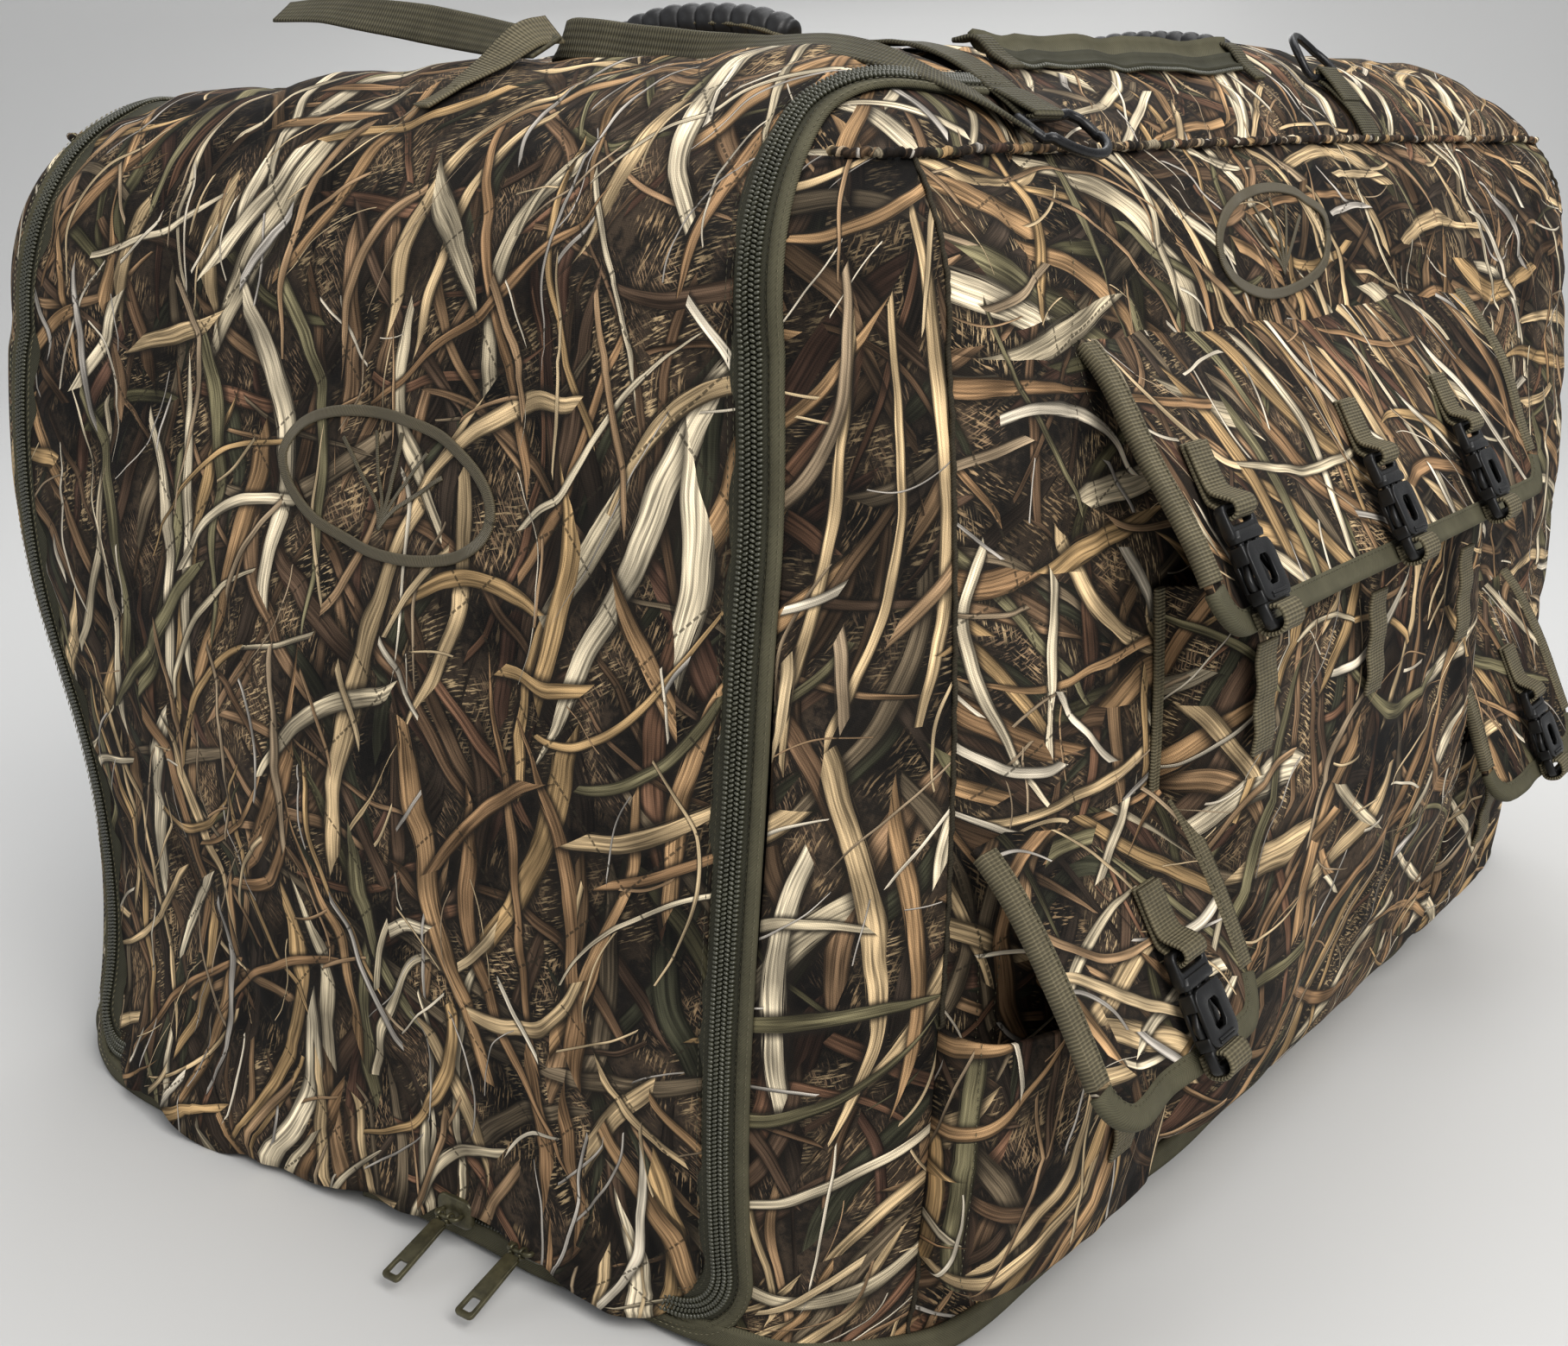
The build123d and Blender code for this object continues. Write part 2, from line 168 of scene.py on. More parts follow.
def around(s, z):
    """Wall point a length s round the plan outline, from the front's middle towards +X."""
    r, a, b = R_PLAN, W - R_PLAN, L - R_PLAN
    quarter = r * PI / 2
    marks = np.cumsum([a, quarter, 2 * b, quarter, 2 * a, quarter, 2 * b, quarter, a])
    total = marks[-1]
    s = np.mod(s, total)
    i = np.searchsorted(marks, s, side="right")
    start = np.concatenate([[0], marks])[i]
    d = s - start
    ang = d / r
    x = np.choose(i, [d, a + r * np.sin(ang), W + 0 * d, a + r * np.cos(ang), a - d,
                      -a - r * np.sin(ang), -W + 0 * d, -a - r * np.cos(ang), -a + d])
    y = np.choose(i, [-L + 0 * d, -b - r * np.cos(ang), -b + d, b + r * np.sin(ang), L + 0 * d,
                      b + r * np.cos(ang), b - d, -b - r * np.sin(ang), -L + 0 * d])
    nx = np.choose(i, [0 * d, np.sin(ang), 1 + 0 * d, np.cos(ang), 0 * d,
                       -np.sin(ang), -1 + 0 * d, -np.cos(ang), 0 * d])
    ny = np.choose(i, [-1 + 0 * d, -np.cos(ang), 0 * d, np.sin(ang), 1 + 0 * d,
                       np.cos(ang), 0 * d, -np.sin(ang), -1 + 0 * d])
    lean = belly(z) - (R_TOP - np.sqrt(np.maximum(R_TOP ** 2 - np.maximum(z - SHOULDER, 0) ** 2, 0)))
    return settle(np.stack([x + nx * lean, y + ny * lean, z + 0 * x], -1))


RING_LENGTH = 4 * (W - R_PLAN) + 4 * (L - R_PLAN) + TAU * R_PLAN
CORNER_S = (W - R_PLAN) + R_PLAN * PI / 2        # where the side's straight starts


def side_s(y):
    """Ring length at a Y of the +X side."""
    return CORNER_S + (y + L - R_PLAN)


# ---------------------------------------------------------------- noise for folds
def noise3(p, scale, seed):
    """Smooth lattice noise, -1 to 1."""
    q = np.asarray(p) * scale + seed * 17.31
    base = np.floor(q)
    f = q - base
    f = f * f * (3 - 2 * f)

    def corner(dx, dy, dz):
        k = base + (dx, dy, dz)
        v = np.sin(k[..., 0] * 127.1 + k[..., 1] * 311.7 + k[..., 2] * 74.7 + seed * 19.19) * 43758.5453
        return v - np.floor(v)

    def mix(a, b, w):
        return a + (b - a) * w

    rows = [mix(corner(0, j, k), corner(1, j, k), f[..., 0]) for j, k in ((0, 0), (1, 0), (0, 1), (1, 1))]
    return 2 * mix(mix(rows[0], rows[1], f[..., 1]), mix(rows[2], rows[3], f[..., 1]), f[..., 2]) - 1


def creases(p, scale, seed):
    """Soft-sided folds with sharper valleys."""
    return 1 - 2 * np.abs(noise3(p, scale, seed)) ** 0.8


# ---------------------------------------------------------------- meshes
def collect(name, verts, faces, mat, uvs=None):
    """A smooth-shaded mesh object with one material and one layer of cloth coordinates."""
    mesh = bpy.data.meshes.new(name)
    mesh.from_pydata([tuple(v) for v in verts], [], [tuple(f) for f in faces])
    layer = mesh.uv_layers.new(name="cloth")
    loops = np.empty(len(mesh.loops), np.int64)
    mesh.loops.foreach_get("vertex_index", loops)
    flat = np.zeros((len(verts), 2)) if uvs is None else np.asarray(uvs, float)
    layer.data.foreach_set("uv", flat[loops].ravel().astype(np.float32))
    mesh.materials.append(mat)
    mesh.polygons.foreach_set("use_smooth", np.ones(len(mesh.polygons), bool))
    mesh.update()
    obj = bpy.data.objects.new(name, mesh)
    bpy.context.scene.collection.objects.link(obj)
    return obj


def grid_faces(n, m, wrap=False):
    """Quads of an n by m grid of points; wrap joins the last column to the first."""
    i, j = np.meshgrid(np.arange(n - 1), np.arange(m if wrap else m - 1), indexing="ij")
    i, j = i.ravel(), j.ravel()
    k = (j + 1) % m
    return np.stack([i * m + j, i * m + k, (i + 1) * m + k, (i + 1) * m + j], 1)


def end_caps(n, m):
    """Polygons over the first and last of n rings of m points."""
    return [tuple(range(m - 1, -1, -1)), tuple((n - 1) * m + j for j in range(m))]


def lengths(p, axis):
    """Running length along one axis of a grid of points."""
    d = np.linalg.norm(np.diff(p, axis=axis), axis=-1)
    pad = [(0, 0), (0, 0)]
    pad[axis] = (1, 0)
    return np.pad(np.cumsum(d, axis=axis), pad)


def cloth_uv(p, turn=0.0, shift=(0.0, 0.0)):
    """Lay the print on a grid of points (rows up, columns across), in metres."""
    u, v = lengths(p, 1), lengths(p, 0)
    mid_r, mid_c = p.shape[0] // 2, p.shape[1] // 2
    u = u - u[:, mid_c:mid_c + 1]
    v = v - v[mid_r:mid_r + 1] + lengths(p, 0)[mid_r, mid_c]
    c, s = math.cos(turn), math.sin(turn)
    return np.stack([u * c - v * s + shift[0], u * s + v * c + shift[1]], -1).reshape(-1, 2)


def thicken(obj, depth):
    """Give cloth its thickness, inwards."""
    mod = obj.modifiers.new("thickness", "SOLIDIFY")
    mod.thickness = depth
    mod.offset = -1.0
    mod.use_even_offset = False


def bevel(obj, width, angle=0.6):
    mod = obj.modifiers.new("bevel", "BEVEL")
    mod.width = width
    mod.segments = 2
    mod.limit_method = "ANGLE"
    mod.angle_limit = angle


def done(obj, body, slot, *nodes):
    """Tie a piece to its body and hide the CAD nodes it stands for; the slot argument is not used."""
    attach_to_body(obj, body)
    if nodes:
        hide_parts(*nodes)
    return obj


def turn_out(obj, face, direction):
    """Flip a sheet whose given face looks against a direction."""
    if np.dot(np.array(obj.data.polygons[face].normal), direction) < 0:
        obj.data.flip_normals()


def sweep(name, path, across, up, section, mat, closed=False):
    """Carry a closed section (across, up) along a path."""
    path, across, up = (np.asarray(a, float) for a in (path, across, up))
    sec = np.asarray(section, float)
    n, m = len(path), len(sec)
    ring = path[:, None] + across[:, None] * sec[None, :, :1] + up[:, None] * sec[None, :, 1:2]
    run = run_of(path)
    uv = np.stack([np.repeat(run[:, None], m, 1), np.repeat(sec[None, :, 0], n, 0)], -1)
    faces = [tuple(f) for f in grid_faces(n, m, wrap=True)]
    if closed:
        last = (n - 1) * m
        faces += [(last + j, last + (j + 1) % m, (j + 1) % m, j) for j in range(m)]
    else:
        faces += end_caps(n, m)
    return collect(name, ring.reshape(-1, 3), faces, mat, uv.reshape(-1, 2))


def unit(v):
    v = np.asarray(v, float)
    return v / np.maximum(np.linalg.norm(v, axis=-1, keepdims=True), 1e-12)


def frames(path, up_hint, closed=False):
    """Across and up directions along a path."""
    path = np.asarray(path, float)
    if closed:
        tan = unit(np.roll(path, -1, 0) - np.roll(path, 1, 0))
    else:
        tan = unit(np.gradient(path, axis=0))
    hint = np.broadcast_to(np.asarray(up_hint, float), path.shape)
    across = unit(np.cross(tan, hint))
    return across, unit(np.cross(across, tan))


def band_section(width, thick, curl=0.0):
    """A strap's section: flat with rounded, slightly thicker selvedges."""
    w, t = width / 2, thick / 2
    top = [(w * k, t * (1.0 if abs(k) < 0.85 else 1.12) + curl * (k * k - 0.3))
           for k in (-0.9, -0.5, 0, 0.5, 0.9)]
    low = [(x, -t + (y - t)) for x, y in reversed(top)]
    return [(-w, 0.0)] + top + [(w, 0.0)] + low


def ribbon(name, path, up_hint, width, thick, mat):
    """A flat strap along a path, its face towards up_hint."""
    return sweep(name, path, *frames(path, up_hint), band_section(width, thick), mat)


def rope(name, path, up_hint, r, mat, closed=False, k=10):
    """A round rod along a path."""
    section = [(r * math.cos(TAU * i / k), r * math.sin(TAU * i / k)) for i in range(k)]
    return sweep(name, path, *frames(path, up_hint, closed), section, mat, closed)


def curve(points, count):
    """A smooth line through points, evenly spaced (Catmull-Rom)."""
    p = np.asarray(points, float)
    p = np.vstack([2 * p[0] - p[1], p, 2 * p[-1] - p[-2]])
    out = []
    for i in range(1, len(p) - 2):
        t = np.linspace(0, 1, 24, endpoint=False)[:, None]
        a, b, c, d = p[i - 1], p[i], p[i + 1], p[i + 2]
        out.append(0.5 * (2 * b + (c - a) * t + (2 * a - 5 * b + 4 * c - d) * t ** 2
                          + (3 * b - a - 3 * c + d) * t ** 3))
    line = np.vstack(out + [p[-2:-1]])
    return resample(line, count)


def run_of(line):
    """Length from the start of a line to each of its points."""
    return np.concatenate([[0], np.cumsum(np.linalg.norm(np.diff(line, axis=0), axis=1))])


def resample(line, count):
    line = np.asarray(line, float)
    run = run_of(line)
    at = np.linspace(0, run[-1], count)
    return np.stack([np.interp(at, run, line[:, k]) for k in range(line.shape[1])], -1)


def repeat(name, centres, a, b, c, bead, mat):
    """Many copies of one small solid, each in its own frame, as one mesh."""
    t, faces = np.asarray(bead[0], float), bead[1]
    pts = (centres[:, None] + a[:, None] * t[None, :, :1] + b[:, None] * t[None, :, 1:2]
           + c[:, None] * t[None, :, 2:3])
    n, m = len(centres), len(t)
    quads = [tuple(np.array(f) + m * i) for i in range(n) for f in faces]
    uv = np.repeat(t[None, :, :2], n, 0).reshape(-1, 2)
    return collect(name, pts.reshape(-1, 3), quads, mat, uv)


def pill(length, width, height, rings=3, k=8):
    """A rounded bead: template points and faces."""
    pts, faces = [], []
    for i in range(rings + 2):
        s = -1 + 2 * i / (rings + 1)
        r = math.sqrt(max(1 - abs(s) ** 2.6, 0.02))
        for j in range(k):
            w = TAU * j / k
            pts.append((s * length / 2, r * width / 2 * math.cos(w), r * height / 2 * math.sin(w)))
    n = rings + 2
    for i in range(n - 1):
        for j in range(k):
            faces.append((i * k + j, i * k + (j + 1) % k, (i + 1) * k + (j + 1) % k, (i + 1) * k + j))
    return pts, faces + end_caps(n, k)


# ---------------------------------------------------------------- materials
def srgb(r, g, b):
    return tuple(((c / 255 + 0.055) / 1.055) ** 2.4 if c > 10 else c / 255 / 12.92 for c in (r, g, b))


class Graph:
    """Short hands for building a material's nodes."""

    def __init__(self, name):
        self.mat = bpy.data.materials.new(name)
        self.mat.use_nodes = True
        self.tree = self.mat.node_tree
        self.tree.nodes.clear()
        out = self.node("OutputMaterial")
        self.bsdf = self.node("BsdfPrincipled")
        self.tree.links.new(self.bsdf.outputs[0], out.inputs[0])

    def node(self, kind, **props):
        n = self.tree.nodes.new("ShaderNode" + kind)
        for k, v in props.items():
            setattr(n, k, v)
        return n

    def put(self, socket, value):
        if isinstance(value, bpy.types.NodeSocket):
            self.tree.links.new(value, socket)
        elif value is not None:
            socket.default_value = value

    def math(self, op, a, b=None, c=None):
        n = self.node("Math", operation=op)
        for s, v in zip(n.inputs, (a, b, c)):
            self.put(s, v)
        return n.outputs[0]

    def add(self, a, b):
        return self.math("ADD", a, b)

    def sub(self, a, b):
        return self.math("SUBTRACT", a, b)

    def mul(self, a, b):
        return self.math("MULTIPLY", a, b)

    def sine(self, a, pitch):
        return self.math("SINE", self.mul(a, TAU / pitch))

    def vmath(self, op, a, b=None, scale=None):
        n = self.node("VectorMath", operation=op)
        self.put(n.inputs[0], a)
        self.put(n.inputs[1], b)
        if scale is not None:
            self.put(n.inputs["Scale"], scale)
        return n.outputs["Vector"]

    def sep(self, v):
        n = self.node("SeparateXYZ")
        self.put(n.inputs[0], v)
        return n.outputs

    def comb(self, x, y, z=0.0):
        n = self.node("CombineXYZ")
        for s, v in zip(n.inputs, (x, y, z)):
            self.put(s, v)
        return n.outputs[0]

    def uv(self):
        return self.node("UVMap", uv_map="cloth").outputs[0]

    def place(self):
        return self.node("TexCoord").outputs["Object"]

    def noise(self, vec, scale, detail=2.0, rough=0.5, dims="2D", color=False):
        n = self.node("TexNoise", noise_dimensions=dims)
        self.put(n.inputs["Vector"], vec)
        n.inputs["Scale"].default_value = scale
        n.inputs["Detail"].default_value = detail
        n.inputs["Roughness"].default_value = rough
        return n.outputs["Color" if color else "Fac"]

    def voronoi(self, vec):
        n = self.node("TexVoronoi", voronoi_dimensions="2D", feature="F1")
        self.put(n.inputs["Vector"], vec)
        n.inputs["Scale"].default_value = 1.0
        n.inputs["Randomness"].default_value = 0.95
        return n.outputs

    def step(self, value, lo, hi):
        """0 below lo, 1 above hi, smooth between."""
        return self.lerp(value, lo, hi, 0.0, 1.0, "SMOOTHSTEP")

    def lerp(self, value, lo, hi, a, b, kind="LINEAR"):
        """From a at lo to b at hi."""
        n = self.node("MapRange", interpolation_type=kind)
        for s, v in zip(n.inputs[:5], (value, lo, hi, a, b)):
            self.put(s, v)
        return n.outputs[0]

    def mix(self, fac, a, b, mode="MIX"):
        n = self.node("Mix", data_type="RGBA", blend_type=mode)
        self.put(n.inputs["Factor"], fac)
        self.put(n.inputs[6], (*a, 1.0) if isinstance(a, tuple) else a)
        self.put(n.inputs[7], (*b, 1.0) if isinstance(b, tuple) else b)
        return n.outputs[2]

    def ramp(self, value, stops, interp="LINEAR"):
        n = self.node("ValToRGB")
        self.put(n.inputs[0], value)
        r = n.color_ramp
        r.interpolation = interp
        while len(r.elements) < len(stops):
            r.elements.new(0.5)
        for e, (p, c) in zip(r.elements, stops):
            e.position = p
            e.color = (*c, 1.0)
        return n.outputs[0]

    def shade(self, colour, tone):
        """The colour, lighter or darker by one number."""
        return self.mix(1.0, colour, self.comb(tone, tone, tone), "MULTIPLY")

    def turned(self, x, y, angle):
        """The coordinates in axes turned by an angle."""
        c, s = math.cos(angle), math.sin(angle)
        return self.add(self.mul(x, c), self.mul(y, s)), self.sub(self.mul(y, c), self.mul(x, s))

    def bump(self, height, distance, strength):
        n = self.node("Bump")
        n.inputs["Strength"].default_value = strength
        n.inputs["Distance"].default_value = distance
        self.put(n.inputs["Height"], height)
        return n.outputs[0]

    def finish(self, color, rough=0.8, normal=None, specular=0.25, metallic=0.0):
        """Set the surface's inputs; returns the material."""
        self.put(self.bsdf.inputs["Base Color"], (*color, 1.0) if isinstance(color, tuple) else color)
        self.put(self.bsdf.inputs["Roughness"], rough)
        if normal is not None:
            self.put(self.bsdf.inputs["Normal"], normal)
        self.bsdf.inputs["Specular IOR Level"].default_value = specular
        self.bsdf.inputs["Metallic"].default_value = metallic
        return self.mat


def palette(*colours):
    """Colours in equal bands for a stepped ramp."""
    return [(i / len(colours), srgb(*c)) for i, c in enumerate(colours)]


DIM = palette((74, 58, 46), (48, 40, 33), (90, 72, 55), (56, 56, 43), (64, 54, 45), (84, 62, 50))
MIDDLE = palette((134, 108, 82), (104, 82, 62), (118, 88, 68), (84, 80, 58), (148, 120, 90), (86, 69, 55),
                 (112, 99, 80))
BRIGHT = palette((190, 166, 128), (154, 124, 90), (206, 193, 166), (166, 138, 98), (134, 106, 77),
                 (188, 175, 148), (112, 106, 80))
THIN = palette((208, 198, 178), (190, 169, 134), (170, 164, 155), (148, 122, 93), (150, 132, 108))
# Layers of reed blades, lowest first: angle, spread, cell (length, width), half width,
# share of cells filled, palette, shadow, streaks
BLADES = [
    (70, 0.5, (0.20, 0.023), 0.0076, 0.70, DIM, 0.60, 0.9),
    (118, 0.5, (0.20, 0.025), 0.0072, 0.64, DIM, 0.60, 0.9),
    (88, 0.35, (0.25, 0.027), 0.0066, 0.52, MIDDLE, 0.85, 1.0),
    (22, 0.50, (0.16, 0.036), 0.0054, 0.36, MIDDLE, 0.85, 1.0),
    (130, 0.45, (0.20, 0.031), 0.0060, 0.46, MIDDLE, 0.85, 1.0),
    (158, 0.40, (0.15, 0.037), 0.0050, 0.34, MIDDLE, 0.85, 1.0),
    (74, 0.40, (0.28, 0.030), 0.0074, 0.70, BRIGHT, 0.92, 1.0),
    (108, 0.40, (0.26, 0.031), 0.0068, 0.70, BRIGHT, 0.92, 1.0),
    (40, 0.60, (0.18, 0.036), 0.0048, 0.62, BRIGHT, 0.90, 1.0),
    (100, 0.9, (0.11, 0.023), 0.0012, 0.36, THIN, 0.50, 0.6),
    (60, 0.9, (0.12, 0.023), 0.0010, 0.36, THIN, 0.50, 0.6),
    (90, 0.7, (0.20, 0.034), 0.0033, 0.66, THIN, 0.85, 0.8),
]
SHADED = 6                            # this many layers lie in the print's dark patches
SHADOW = (0.010, 0.008, 0.006)        # round the edge of a blade
QUILT, STITCH_PITCH = 0.098, 0.0052   # distance between quilting lines, and between their stitches
DIAGONAL = 0.7071
PRINT_SCALE = 1.32


def blade_layer(g, base, below, seed, angle, spread, cell, half, share, colours, dark, stripe):
    """Lay reed blades over the colour below. Each cell of a jittered grid holds one blade."""
    x, y, _ = g.sep(base)
    u, v = g.turned(x, y, math.radians(angle))
    long, wide = cell
    q = g.comb(g.add(g.mul(u, 1 / long), seed * 3.17), g.add(g.mul(v, 1 / wide), seed * 7.31))
    vo = g.voronoi(q)
    pick = g.sep(vo["Color"])
    local = g.sep(g.vmath("SUBTRACT", q, vo["Position"]))
    a, b = g.mul(local[0], long), g.mul(local[1], wide)
    th = g.mul(g.sub(pick[0], 0.5), 2 * spread)
    cth, sth = g.math("COSINE", th), g.math("SINE", th)
    al = g.add(g.mul(a, cth), g.mul(b, sth))
    bl = g.sub(g.mul(b, cth), g.mul(a, sth))
    bl = g.add(bl, g.mul(g.mul(al, al), g.mul(g.sub(pick[1], 0.5), 2.0 / long)))
    taper = g.sub(1.0, g.math("POWER", g.mul(g.math("ABSOLUTE", al), 1.5 / long), 2.0))
    width = g.mul(g.mul(g.add(0.35, pick[2]), half), g.math("POWER", g.math("MAXIMUM", taper, 0.0), 0.8))
    side = g.math("DIVIDE", bl, g.math("MAXIMUM", width, 1e-5))
    rel = g.math("ABSOLUTE", side)
    present = g.math("LESS_THAN", g.math("FRACT", g.mul(pick[1], 7.77)), share)
    streak = g.noise(g.comb(g.add(g.mul(al, 14.0), g.mul(pick[0], 50.0)), g.mul(bl, 520.0)), 1.0, 2.0, 0.65)
    frayed = g.add(rel, g.mul(g.sub(streak, 0.5), 1.1))
    mask = g.mul(g.sub(1.0, g.step(frayed, 0.86, 1.0)), present)
    halo = g.mul(g.sub(1.0, g.step(rel, 0.9, 2.0)), present)
    colour = g.ramp(g.math("FRACT", g.mul(pick[0], 5.31)), colours, "CONSTANT")
    along = g.noise(g.comb(g.mul(al, 30.0), g.mul(pick[1], 90.0)), 1.0, 0.0, 0.5)
    tone = g.mul(g.lerp(side, -1.0, 1.0, 0.58, 1.30), g.lerp(along, 0.3, 0.7, 0.60, 1.22))
    tone = g.mul(tone, g.lerp(streak, 0.32, 0.68, 1.0 - 0.66 * stripe, 1.0 + 0.50 * stripe))
    tone = g.mul(tone, g.sub(1.0, g.mul(g.step(rel, 0.60, 0.98), 0.6)))
    colour = g.shade(colour, tone)
    return g.mix(mask, g.mix(g.mul(halo, dark), below, SHADOW), colour)


def quilt_lines(g, base, pitch, half):
    """1 on the diagonal quilting stitches, 0 elsewhere."""
    x, y, _ = g.sep(base)
    hits = None
    for s in (1, -1):
        k = g.mul(g.add(x, g.mul(y, s)), 1 / pitch)
        off = g.mul(g.math("ABSOLUTE", g.sub(g.math("FRACT", k), 0.5)), pitch * DIAGONAL)
        line = g.sub(1.0, g.step(off, half * 0.5, half))
        dash = g.step(g.math("FRACT", g.mul(g.sub(x, g.mul(y, s)), 1 / STITCH_PITCH)), 0.22, 0.34)
        hit = g.mul(line, dash)
        hits = hit if hits is None else g.math("MAXIMUM", hits, hit)
    return hits


def camo_material(name, quilted):
    """Reed print: dark litter, fine hairs, then layers of blades, on a twill cloth."""
    g = Graph(name)
    base = g.uv()
    print_at = g.vmath("SCALE", base, scale=PRINT_SCALE)
    w1 = g.vmath("SUBTRACT", g.noise(base, 5.0, 1.0, 0.5, color=True), (0.5, 0.5, 0.5))
    w2 = g.vmath("SUBTRACT", g.noise(base, 26.0, 1.0, 0.5, color=True), (0.5, 0.5, 0.5))
    bent = g.vmath("ADD", print_at, g.vmath("SCALE", w1, scale=0.052))
    bent = g.vmath("ADD", bent, g.vmath("SCALE", w2, scale=0.0052))
    patch = g.noise(base, 13.0, 3.0, 0.6)
    fine = g.noise(base, 190.0, 3.0, 0.7)
    colour = g.ramp(g.add(g.mul(patch, 0.7), g.mul(fine, 0.3)),
                    [(0.38, srgb(20, 18, 16)), (0.47, srgb(32, 28, 24)), (0.55, srgb(62, 52, 42)),
                     (0.66, srgb(36, 31, 27))])
    bx, by, _ = g.sep(bent)
    hairs = (0.5, 1.0, (186, 162, 124)), (2.3, 1.25, (124, 102, 79)), (1.4, 0.9, (164, 138, 104))
    for k, (ang, sc, tint) in enumerate(hairs):
        u, v = g.turned(bx, by, ang)
        hair = g.noise(g.comb(g.mul(u, 85 * sc), g.mul(v, 680 * sc)), 1.0, 2.0, 0.6)
        fade = g.step(g.noise(base, 17.0 + 3 * k, 2.0, 0.5), 0.48, 0.64)
        colour = g.mix(g.mul(g.step(hair, 0.54, 0.66), fade), colour, srgb(*tint))
    gloom = g.lerp(g.noise(base, 10.0, 2.0, 0.55), 0.36, 0.60, 0.28, 1.05)
    for k, blade in enumerate(BLADES):
        if k == SHADED:
            colour = g.shade(colour, gloom)
        colour = blade_layer(g, bent, colour, k + 1.37, *blade)
    x, y, _ = g.sep(base)
    twill = g.add(0.95, g.mul(g.sine(g.add(x, y), 0.0011), 0.07))
    colour = g.shade(colour, twill)
    weave = g.add(g.mul(g.sine(x, 0.0009), 0.5), g.mul(g.sine(y, 0.0009), 0.5))
    normal = g.bump(weave, 0.00008, 0.5)
    if quilted:
        stitch = quilt_lines(g, base, QUILT, 0.00075)
        colour = g.mix(g.mul(stitch, 0.75), colour, srgb(38, 34, 26))
    colour = g.mix(1.0, colour, (1.20, 1.18, 1.16), "MULTIPLY")
    return g.finish(colour, 0.86, normal, 0.18)


def webbing_material(name, light, dark, rib=0.0016):
    """Woven strap: ribs across it, two raised tracks along it."""
    g = Graph(name)
    x, y, _ = g.sep(g.uv())
    ribs = g.sine(x, rib)
    tracks = g.sine(y, 0.0034)
    cloud = g.noise(g.uv(), 60.0, 2.0, 0.6)
    tone = g.add(0.5, g.add(g.mul(ribs, 0.30), g.mul(tracks, 0.14)))
    colour = g.mix(tone, srgb(*dark), srgb(*light))
    shade = g.lerp(cloud, 0.3, 0.7, 0.86, 1.12)
    colour = g.shade(colour, shade)
    normal = g.bump(g.add(ribs, g.mul(tracks, 0.6)), 0.00035, 0.9)
    return g.finish(colour, 0.72, normal, 0.28)


def plain_tape_material(name, light, dark):
    """Smooth woven tape with a fine herringbone."""
    g = Graph(name)
    x, y, _ = g.sep(g.uv())
    zig = g.sine(g.add(x, g.math("ABSOLUTE", g.mul(y, 1.0))), 0.0013)
    cloud = g.noise(g.uv(), 45.0, 3.0, 0.6)
    colour = g.mix(g.add(0.5, g.mul(zig, 0.22)), srgb(*dark), srgb(*light))
    shade = g.lerp(cloud, 0.3, 0.7, 0.84, 1.14)
    colour = g.shade(colour, shade)
    return g.finish(colour, 0.8, g.bump(zig, 0.00012, 0.6), 0.22)


def moulded_material(name, colour, rough, grain, depth, specular=0.45):
    """Moulded plastic: fine spark grain, faint scuffs in random patches."""
    g = Graph(name)
    p = g.place()
    fine = g.noise(p, grain, 3.0, 0.6, dims="3D")
    cloud = g.noise(p, 28.0, 3.0, 0.6, dims="3D")
    shade = g.lerp(cloud, 0.3, 0.7, 0.80, 1.25)
    tint = g.shade(srgb(*colour), shade)
    gloss = g.lerp(fine, 0.3, 0.7, rough - 0.10, rough + 0.12)
    return g.finish(tint, gloss, g.bump(fine, depth, 0.6), specular)


def metal_material(name, colour, rough, metallic):
    """Painted or plated metal with worn patches."""
    g = Graph(name)
    p = g.place()
    fine = g.noise(p, 900.0, 2.0, 0.6, dims="3D")
    wear = g.noise(p, 140.0, 3.0, 0.7, dims="3D")
    shade = g.lerp(wear, 0.35, 0.7, 0.75, 1.6)
    tint = g.shade(srgb(*colour), shade)
    gloss = g.lerp(fine, 0.3, 0.7, rough - 0.08, rough + 0.12)
    return g.finish(tint, gloss, g.bump(fine, 0.00004, 0.5), 0.5, metallic)


def thread_material(name, light, dark, pitch=0.0011):
    """Embroidery or sewing thread: a twist along it."""
    g = Graph(name)
    x, y, _ = g.sep(g.uv())
    twist = g.sine(g.add(x, g.mul(y, 0.25)), pitch)
    colour = g.mix(g.add(0.5, g.mul(twist, 0.5)), srgb(*dark), srgb(*light))
    return g.finish(colour, 0.5, g.bump(twist, 0.0003, 0.8), 0.45)


CAMO = camo_material("reed_print", False)
CAMO_QUILTED = camo_material("reed_print_quilted", True)
WEBBING = webbing_material("khaki_webbing", (124, 115, 90), (66, 61, 46))
OLIVE_WEBBING = webbing_material("olive_webbing", (93, 88, 67), (50, 47, 36))
TAPE = plain_tape_material("olive_tape", (68, 67, 53), (46, 45, 36))
EDGE_TAPE = plain_tape_material("edge_tape", (92, 88, 68), (64, 62, 48))
COIL = moulded_material("zip_coil", (62, 62, 48), 0.30, 900.0, 0.00003, 0.7)
PLASTIC = moulded_material("buckle_black", (15, 15, 15), 0.40, 1400.0, 0.00003, 0.42)
CRATE = moulded_material("crate_black", (30, 30, 29), 0.62, 700.0, 0.00015, 0.4)
RUBBER = moulded_material("grip_black", (16, 15, 15), 0.44, 800.0, 0.00006, 0.45)
WIRE = metal_material("ring_black", (20, 20, 21), 0.30, 0.35)
SLIDER = metal_material("slider_olive", (74, 70, 50), 0.36, 0.5)
STITCH = thread_material("stitch_thread", (104, 98, 72), (60, 56, 40))
